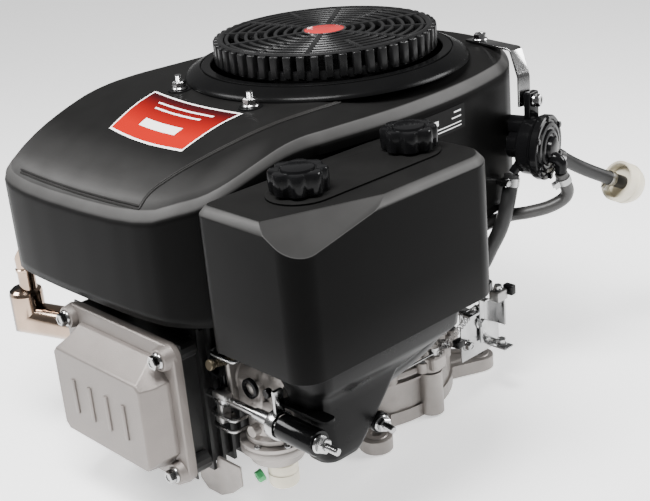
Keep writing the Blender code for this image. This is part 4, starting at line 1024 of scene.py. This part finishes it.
PUMP = Vector((0.156, 0.113, 0.241))
PUMP_AXIS = Vector((0.968, 0.25, 0)).normalized()


def fuel_pump():
    """The pulse pump: stepped round cover, screws, spouts and the body behind it."""
    cover = Shape().turn([
        (0.029, -0.004), (0.0295, -0.0034), (0.0295, 0.002), (0.0285, 0.003), (0.0258, 0.003),
        (0.025, 0.0018), (0.0232, 0.0018), (0.0224, 0.004), (0.0196, 0.0044), (0.0186, 0.003),
        (0.0166, 0.003), (0.0156, 0.0052), (0.0132, 0.0056), (0.0122, 0.004), (0.0104, 0.004),
        (0.0094, 0.0082), (0.006, 0.0094)], PUMP, PUMP_AXIS, 64)
    cover.sweep(smooth_path([(0.161, 0.1125, 0.2325), (0.166, 0.1135, 0.232), (0.17, 0.1155, 0.2275),
                             (0.17, 0.1155, 0.2191)], 6), 0.0054, 18)
    place = placed(PUMP, PUMP_AXIS)
    for a in around(6, 0.3):
        cover.turn([(0.003, -0.0005), (0.003, 0.0012), (0.0022, 0.0018)],
                   place @ polar(0.0272, a, 0.003), PUMP_AXIS, 14)
    cover.done("pump_cover", GLOSSY, ["fuel_pump_cover"], angle=26)
    body = Shape().turn([
        (0.029, -0.0043), (0.0285, -0.006), (0.0262, -0.0075), (0.0255, -0.018), (0.024, -0.02),
        (0.0125, -0.0205), (0.012, -0.0338)], PUMP, PUMP_AXIS, 48)
    body.rod((0.14, 0.13, 0.23), (0.1373, 0.145, 0.2236), 0.0045, steps=20)
    body.rod((0.141, 0.1, 0.233), (0.1351, 0.0917, 0.2192), 0.0045, steps=20)
    body.box((0.137, 0.106, 0.262), (0.144, 0.12, 0.2905), 0.0015, 3)
    body.rod((0.115, 0.11, 0.256), (0.145, 0.118, 0.256), 0.01, steps=32, edge=0.001)
    body.done("pump_body", GLOSSY, ["fuel_pump"], angle=30)
    hex_bolt("pump_bolt", (0.1442, 0.113, 0.283), (0.96, 0.26, 0), across=0.01, flange=0.0125)


def pump_strap():
    """The bent zinc strip from the top of the housing down to the pump."""
    path = [Vector(p) for p in (
        (0.064, 0.124, 0.3272), (0.0944, 0.1186, 0.3272), (0.1215, 0.1138, 0.3272),
        (0.1243, 0.1133, 0.3262), (0.1325, 0.1119, 0.3062), (0.1336, 0.1117, 0.303),
        (0.1336, 0.1117, 0.2765))]
    across = polar(0.0069, radians(80))
    rings = []
    for i, here in enumerate(path):
        way = (path[min(i + 1, len(path) - 1)] - path[max(i - 1, 0)]).normalized()
        out = across.cross(way).normalized() * 0.0011
        rings.append([here + across + out, here - across + out, here - across - out, here + across - out])
    made = Shape().skin(rings).done("strap_strip", ZINC, ["pump_strap"], angle=60)
    bevelled(made, 0.0005)
    hex_bolt("strap_bolt_top", (0.0767, 0.1217, 0.3284), UP)


def hoses():
    """The three hoses whose two ends are both fixed, with their clamps."""
    vent = smooth_path([
        (0.1345, 0.0905, 0.218), (0.1345, 0.087, 0.204), (0.1345, 0.0815, 0.189), (0.1305, 0.0765, 0.169),
        (0.123, 0.071, 0.15), (0.115, 0.0665, 0.132), (0.103, 0.0615, 0.118), (0.0835, 0.0528, 0.109)], 8)
    Shape().sweep(vent, 0.0069, 24).done("vent_hose_rubber", RUBBER, ["vent_hose"])
    worm_clamp("vent_clamp_top", vent, 4, 0.007)
    worm_clamp("vent_clamp_low", vent, 46, 0.007)
    supply = smooth_path([
        (0.17, 0.1155, 0.2185), (0.1708, 0.1195, 0.209), (0.1702, 0.1245, 0.199), (0.166, 0.1235, 0.1905),
        (0.157, 0.113, 0.184), (0.142, 0.103, 0.179), (0.126, 0.094, 0.175), (0.113, 0.072, 0.169),
        (0.107, 0.04, 0.16), (0.107, -0.02, 0.152), (0.104, -0.09, 0.148), (0.104, -0.125, 0.135),
        (0.111, -0.148, 0.112), (0.116, -0.161, 0.102), (0.117, -0.1748, 0.1)], 8)
    Shape().sweep(supply, 0.0059, 20).done("supply_hose", GREY_HOSE, ["carburetor_fuel_hose"])
    spring_clamp("supply_clamp_pump", supply, 6, 0.006)
    spring_clamp("supply_clamp_carb", supply, -6, 0.006)
    breather = smooth_path([
        (0.174, -0.133, 0.113), (0.165, -0.113, 0.1095), (0.155, -0.075, 0.107), (0.144, -0.035, 0.108),
        (0.131, -0.002, 0.114), (0.12, 0.02, 0.126), (0.11, 0.028, 0.14), (0.0925, 0.0247, 0.148)], 8)
    Shape().sweep(breather, 0.0049, 20).done("breather_tube", RUBBER, ["breather_hose"])


def free_hose():
    """The loose supply hose, its two clamps and the pale cup on its end."""
    made = Shape().sweep(FUEL_HOSE, FUEL_HOSE_R, 24).done("free_fuel_hose", RUBBER, ["fuel_hose"])
    clamps = [spring_clamp(f"free_clamp_{i + 1}", FUEL_HOSE, at, FUEL_HOSE_R)
              for i, at in enumerate((3, -4))]
    end = FUEL_HOSE[-1]
    way = (end - FUEL_HOSE[-5]).normalized()
    cup = Shape().turn([
        (0.0166, 0.0004), (0.0168, -0.008), (0.0176, -0.009), (0.0192, -0.009), (0.0199, -0.008),
        (0.0199, -0.003), (0.0192, -0.0022), (0.0192, 0.001), (0.0198, 0.0018), (0.0198, 0.006),
        (0.0188, 0.0085), (0.0166, 0.0136), (0.0155, 0.014), (0.006, 0.014), (0.004, 0.0006),
    ], end, way, 48, closed=True)
    cup = cup.done("hose_cup", CREAM, ["fuel_hose_fitting"], angle=30)


# ---------------- stage

LIT_POINT = Vector((0.02, -0.03, 0.2))


def area_light(name, at, size, power):
    """A rectangular light that points at the engine's middle."""
    data = bpy.data.lights.new(name, "AREA")
    data.shape = "RECTANGLE"
    data.size, data.size_y = size
    data.energy = power
    made = add_object(name, data)
    made.location = at
    made.rotation_euler = (LIT_POINT - Vector(at)).to_track_quat("-Z", "Y").to_euler()


def stage():
    """A pale floor at the mounting plane, a bright surround and soft studio lights."""
    mat, tree, shader = new_material("floor")
    plug(tree.links, shader, {"Base Color": (0.93, 0.93, 0.93, 1), "Emission Color": (1, 1, 1, 1),
                              "Emission Strength": 0.85, "Roughness": 0.7})
    bm = bmesh.new()
    bmesh.ops.create_grid(bm, x_segments=1, y_segments=1, size=6)
    mesh = new_mesh("floor", bm)
    mesh.materials.append(mat)
    floor = add_object("floor", mesh)
    floor.location.z = -0.001
    world = bpy.data.worlds.new("studio")
    world.use_nodes = True
    plug(world.node_tree.links, world.node_tree.nodes["Background"].inputs,
         {"Color": (1, 1, 1, 1), "Strength": 0.22})
    bpy.context.scene.world = world
    area_light("key", (0.3, -0.55, 1.35), (0.6, 0.45), 44)
    area_light("front_left", (-0.8, -0.9, 1.2), (0.7, 0.5), 28)
    area_light("back_right", (0.85, 1.05, 0.95), (0.8, 0.5), 30)


for build in (add_camera, free_hose, paint_carried_over, housing, housing_beads, collar, decal,
              wall_plate, fan_screen, housing_nuts, air_box, knobs, intake_duct, valve_cover, exhaust,
              carb_casting, fuel_bowl, insulator, carb_links, idle_screw, carb_stud, carb_fittings,
              deflector, sump_details, case_details, control_bracket, control_arm, control_fittings,
              fuel_pump, pump_strap, hoses, stage):
    build()
